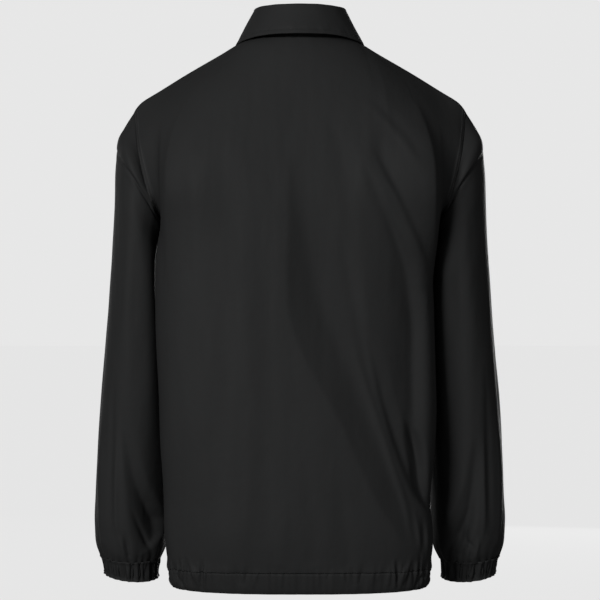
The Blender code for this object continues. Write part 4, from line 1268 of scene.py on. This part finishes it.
def armholeLines(points, last):
    facing, edge = facingOf(points), fromEdge(points, last)
    start, lines = lowerCount + stitch["underarmRows"], []
    for distance in seamLook["rows"]:
        line, out = rowLine(points, facing, edge, distance + seamLook["over"])
        lines.append((line[start:-1], out[start:-1]))
    return lines


backLines = armholeLines(backPoints, False) + armholeLines(backPoints, True)
stitchPiece("armholeStitchesBack", backLines, greyThread)
frontLines = armholeLines(leftPoints, False) + armholeLines(rightPoints, True)
stitchPiece("armholeStitchesFront", frontLines, greyThread)
panels = (backPoints, leftPoints, rightPoints)
stitchPiece("hemStitches", [columnLine(grid, facingOf(grid), stitch["overCasing"]) for grid in panels])
stitchPiece("collarStitches", [columnLine(fallPoints, facingOf(fallPoints), collar["stitchUp"])])
cuffLines = []
for grid in sleevePoints.values():
    cuffLines.append(columnLine(grid[::-1], facingOf(grid, True)[::-1], stitch["overCasing"]))
stitchPiece("cuffStitches", cuffLines)
placketLines, ends = [], stitch["endRows"]
for distance in stitch["placket"]:
    line, out = rowLine(leftPoints, facingOf(leftPoints), fromEdge(leftPoints, True), distance)
    placketLines.append((line[ends:-ends], out[ends:-ends]))
stitchPiece("placketStitches", placketLines)

# snaps
snapCap = {
    "count": 5,
    "radius": 6.2 * mm,
    "height": 2.6 * mm,
    "profile": [  # shares of the radius and height, from the crown over the rim to the foot
        (0.0, 1.0), (0.45, 0.94), (0.78, 0.72), (0.86, 0.50),
        (0.92, 0.62), (1.0, 0.42), (1.0, 0.0), (0.0, 0.0),
    ],
    "steps": 40,
    "sharpFrom": 40,  # degrees
    "lift": 0.3,  # mm off the cloth
    "dark": (0.008, 0.008, 0.009),
    "light": (0.016, 0.016, 0.017),
    "speck": 600.0,
    "roughness": (0.24, 0.36),
}


def enamelMaterial():
    material, shader = newMaterial("blackEnamel")
    tree = material.node_tree
    coords = tree.nodes.new("ShaderNodeTexCoord")
    speck = noiseNode(tree, coords.outputs["Object"], snapCap["speck"], 3.0)
    tintBase(tree, shader, speck, snapCap["dark"], snapCap["light"])
    tree.links.new(rangeNode(tree, speck, snapCap["roughness"]), shader.inputs["Roughness"])
    return material


blackEnamel = enamelMaterial()


def snapPiece(number):
    low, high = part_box("snap_%d" % number)
    middle = (low + high) / 2
    gaps = np.linalg.norm(leftPoints - np.array(middle), axis=-1)
    row, column = np.unravel_index(gaps.argmin(), gaps.shape)
    out = Vector(leftFacing[row, column])
    bm = bmesh.new()
    verts = [bm.verts.new((r * snapCap["radius"], 0.0, z * snapCap["height"])) for r, z in snapCap["profile"]]
    edges = [bm.edges.new(pair) for pair in zip(verts, verts[1:])]
    bmesh.ops.spin(
        bm, geom=verts + edges, cent=(0, 0, 0), axis=(0, 0, 1), angle=2 * math.pi, steps=snapCap["steps"],
        use_merge=True,
    )
    bmesh.ops.remove_doubles(bm, verts=bm.verts[:], dist=jacket["weld"])
    bmesh.ops.recalc_face_normals(bm, faces=bm.faces[:])
    onCloth = Vector(leftPoints[row, column])
    seat = middle - (middle - onCloth).dot(out) * out
    turn = out.to_track_quat("Z", "Y").to_matrix().to_4x4()
    place = Matrix.Translation(seat + out * snapCap["lift"] * mm)
    bmesh.ops.transform(bm, matrix=place @ turn, verts=bm.verts[:])
    name = "snapCap%d" % number
    piece = addPiece(name, meshFrom(bm, name), blackEnamel, "snap_%d" % number)
    piece.data.set_sharp_from_angle(angle=math.radians(snapCap["sharpFrom"]))


for number in range(1, snapCap["count"] + 1):
    snapPiece(number)
print("snaps placed")

# studio
studio = {
    "floorZ": -1.02,
    "floorSize": 60.0,
    "floorShade": (0.012, 0.012, 0.012, 1.0),
    "floorGlow": 0.98,
    "backdrop": (0.80, 0.80, 0.80, 1.0),
    "skyLight": 0.10,
    "cameraPlace": (0.0, 3.0, -0.346),
    "lens": 134.3,
    "aim": (0.0, 0.0, -0.35),
    "lights": [  # name, place, size, watts
        ("key", (1.8, 3.3, 0.7), 1.2, 87.0),
        ("fill", (-2.0, 3.3, 0.3), 2.2, 13.0),
        ("frontKey", (-0.9, -3.6, -0.2), 1.5, 74.0),
        ("frontFill", (1.9, -3.4, -0.2), 2.2, 14.0),
        ("top", (0.0, 0.0, 2.6), 2.4, 1.5),
    ],
}


def floorMaterial():
    material, shader = newMaterial("paleFloor")
    shader.inputs["Base Color"].default_value = studio["floorShade"]
    shader.inputs["Roughness"].default_value = 1.0
    shader.inputs["Specular IOR Level"].default_value = 0.0
    shader.inputs["Emission Color"].default_value = studio["backdrop"]
    shader.inputs["Emission Strength"].default_value = studio["floorGlow"]
    return material


bm = bmesh.new()
bmesh.ops.create_grid(bm, x_segments=2, y_segments=2, size=studio["floorSize"] / 2)
bmesh.ops.translate(bm, vec=(0.0, 0.0, studio["floorZ"]), verts=bm.verts[:])
floorMesh = meshFrom(bm, "floor")
floorMesh.materials.append(floorMaterial())
floor = bpy.data.objects.new("floor", floorMesh)
bpy.context.scene.collection.objects.link(floor)
floor.visible_diffuse = False  # pale underfoot without lighting the cloth from below
floor.visible_glossy = False

world = bpy.data.worlds.new("studio")
bpy.context.scene.world = world
world.use_nodes = True
sky = world.node_tree.nodes["Background"]
sky.inputs["Color"].default_value = studio["backdrop"]
rays = world.node_tree.nodes.new("ShaderNodeLightPath")
strength = rangeNode(world.node_tree, rays.outputs["Is Camera Ray"], (studio["skyLight"], 1.0))
world.node_tree.links.new(strength, sky.inputs["Strength"])

for name, place, size, watts in studio["lights"]:
    data = bpy.data.lights.new(name, "AREA")
    data.size = size
    data.energy = watts
    lamp = bpy.data.objects.new(name, data)
    lamp.location = place
    lamp.rotation_mode = "QUATERNION"
    lamp.rotation_quaternion = (Vector(studio["aim"]) - Vector(place)).to_track_quat("-Z", "Y")
    bpy.context.scene.collection.objects.link(lamp)

lensData = bpy.data.cameras.new("camera")
lensData.lens = studio["lens"]
camera = bpy.data.objects.new("camera", lensData)
camera.location = studio["cameraPlace"]
camera.rotation_euler = (math.radians(90), 0.0, math.radians(180))
bpy.context.scene.collection.objects.link(camera)
bpy.context.scene.camera = camera
bpy.context.scene.view_settings.view_transform = "Standard"
print("studio ready")
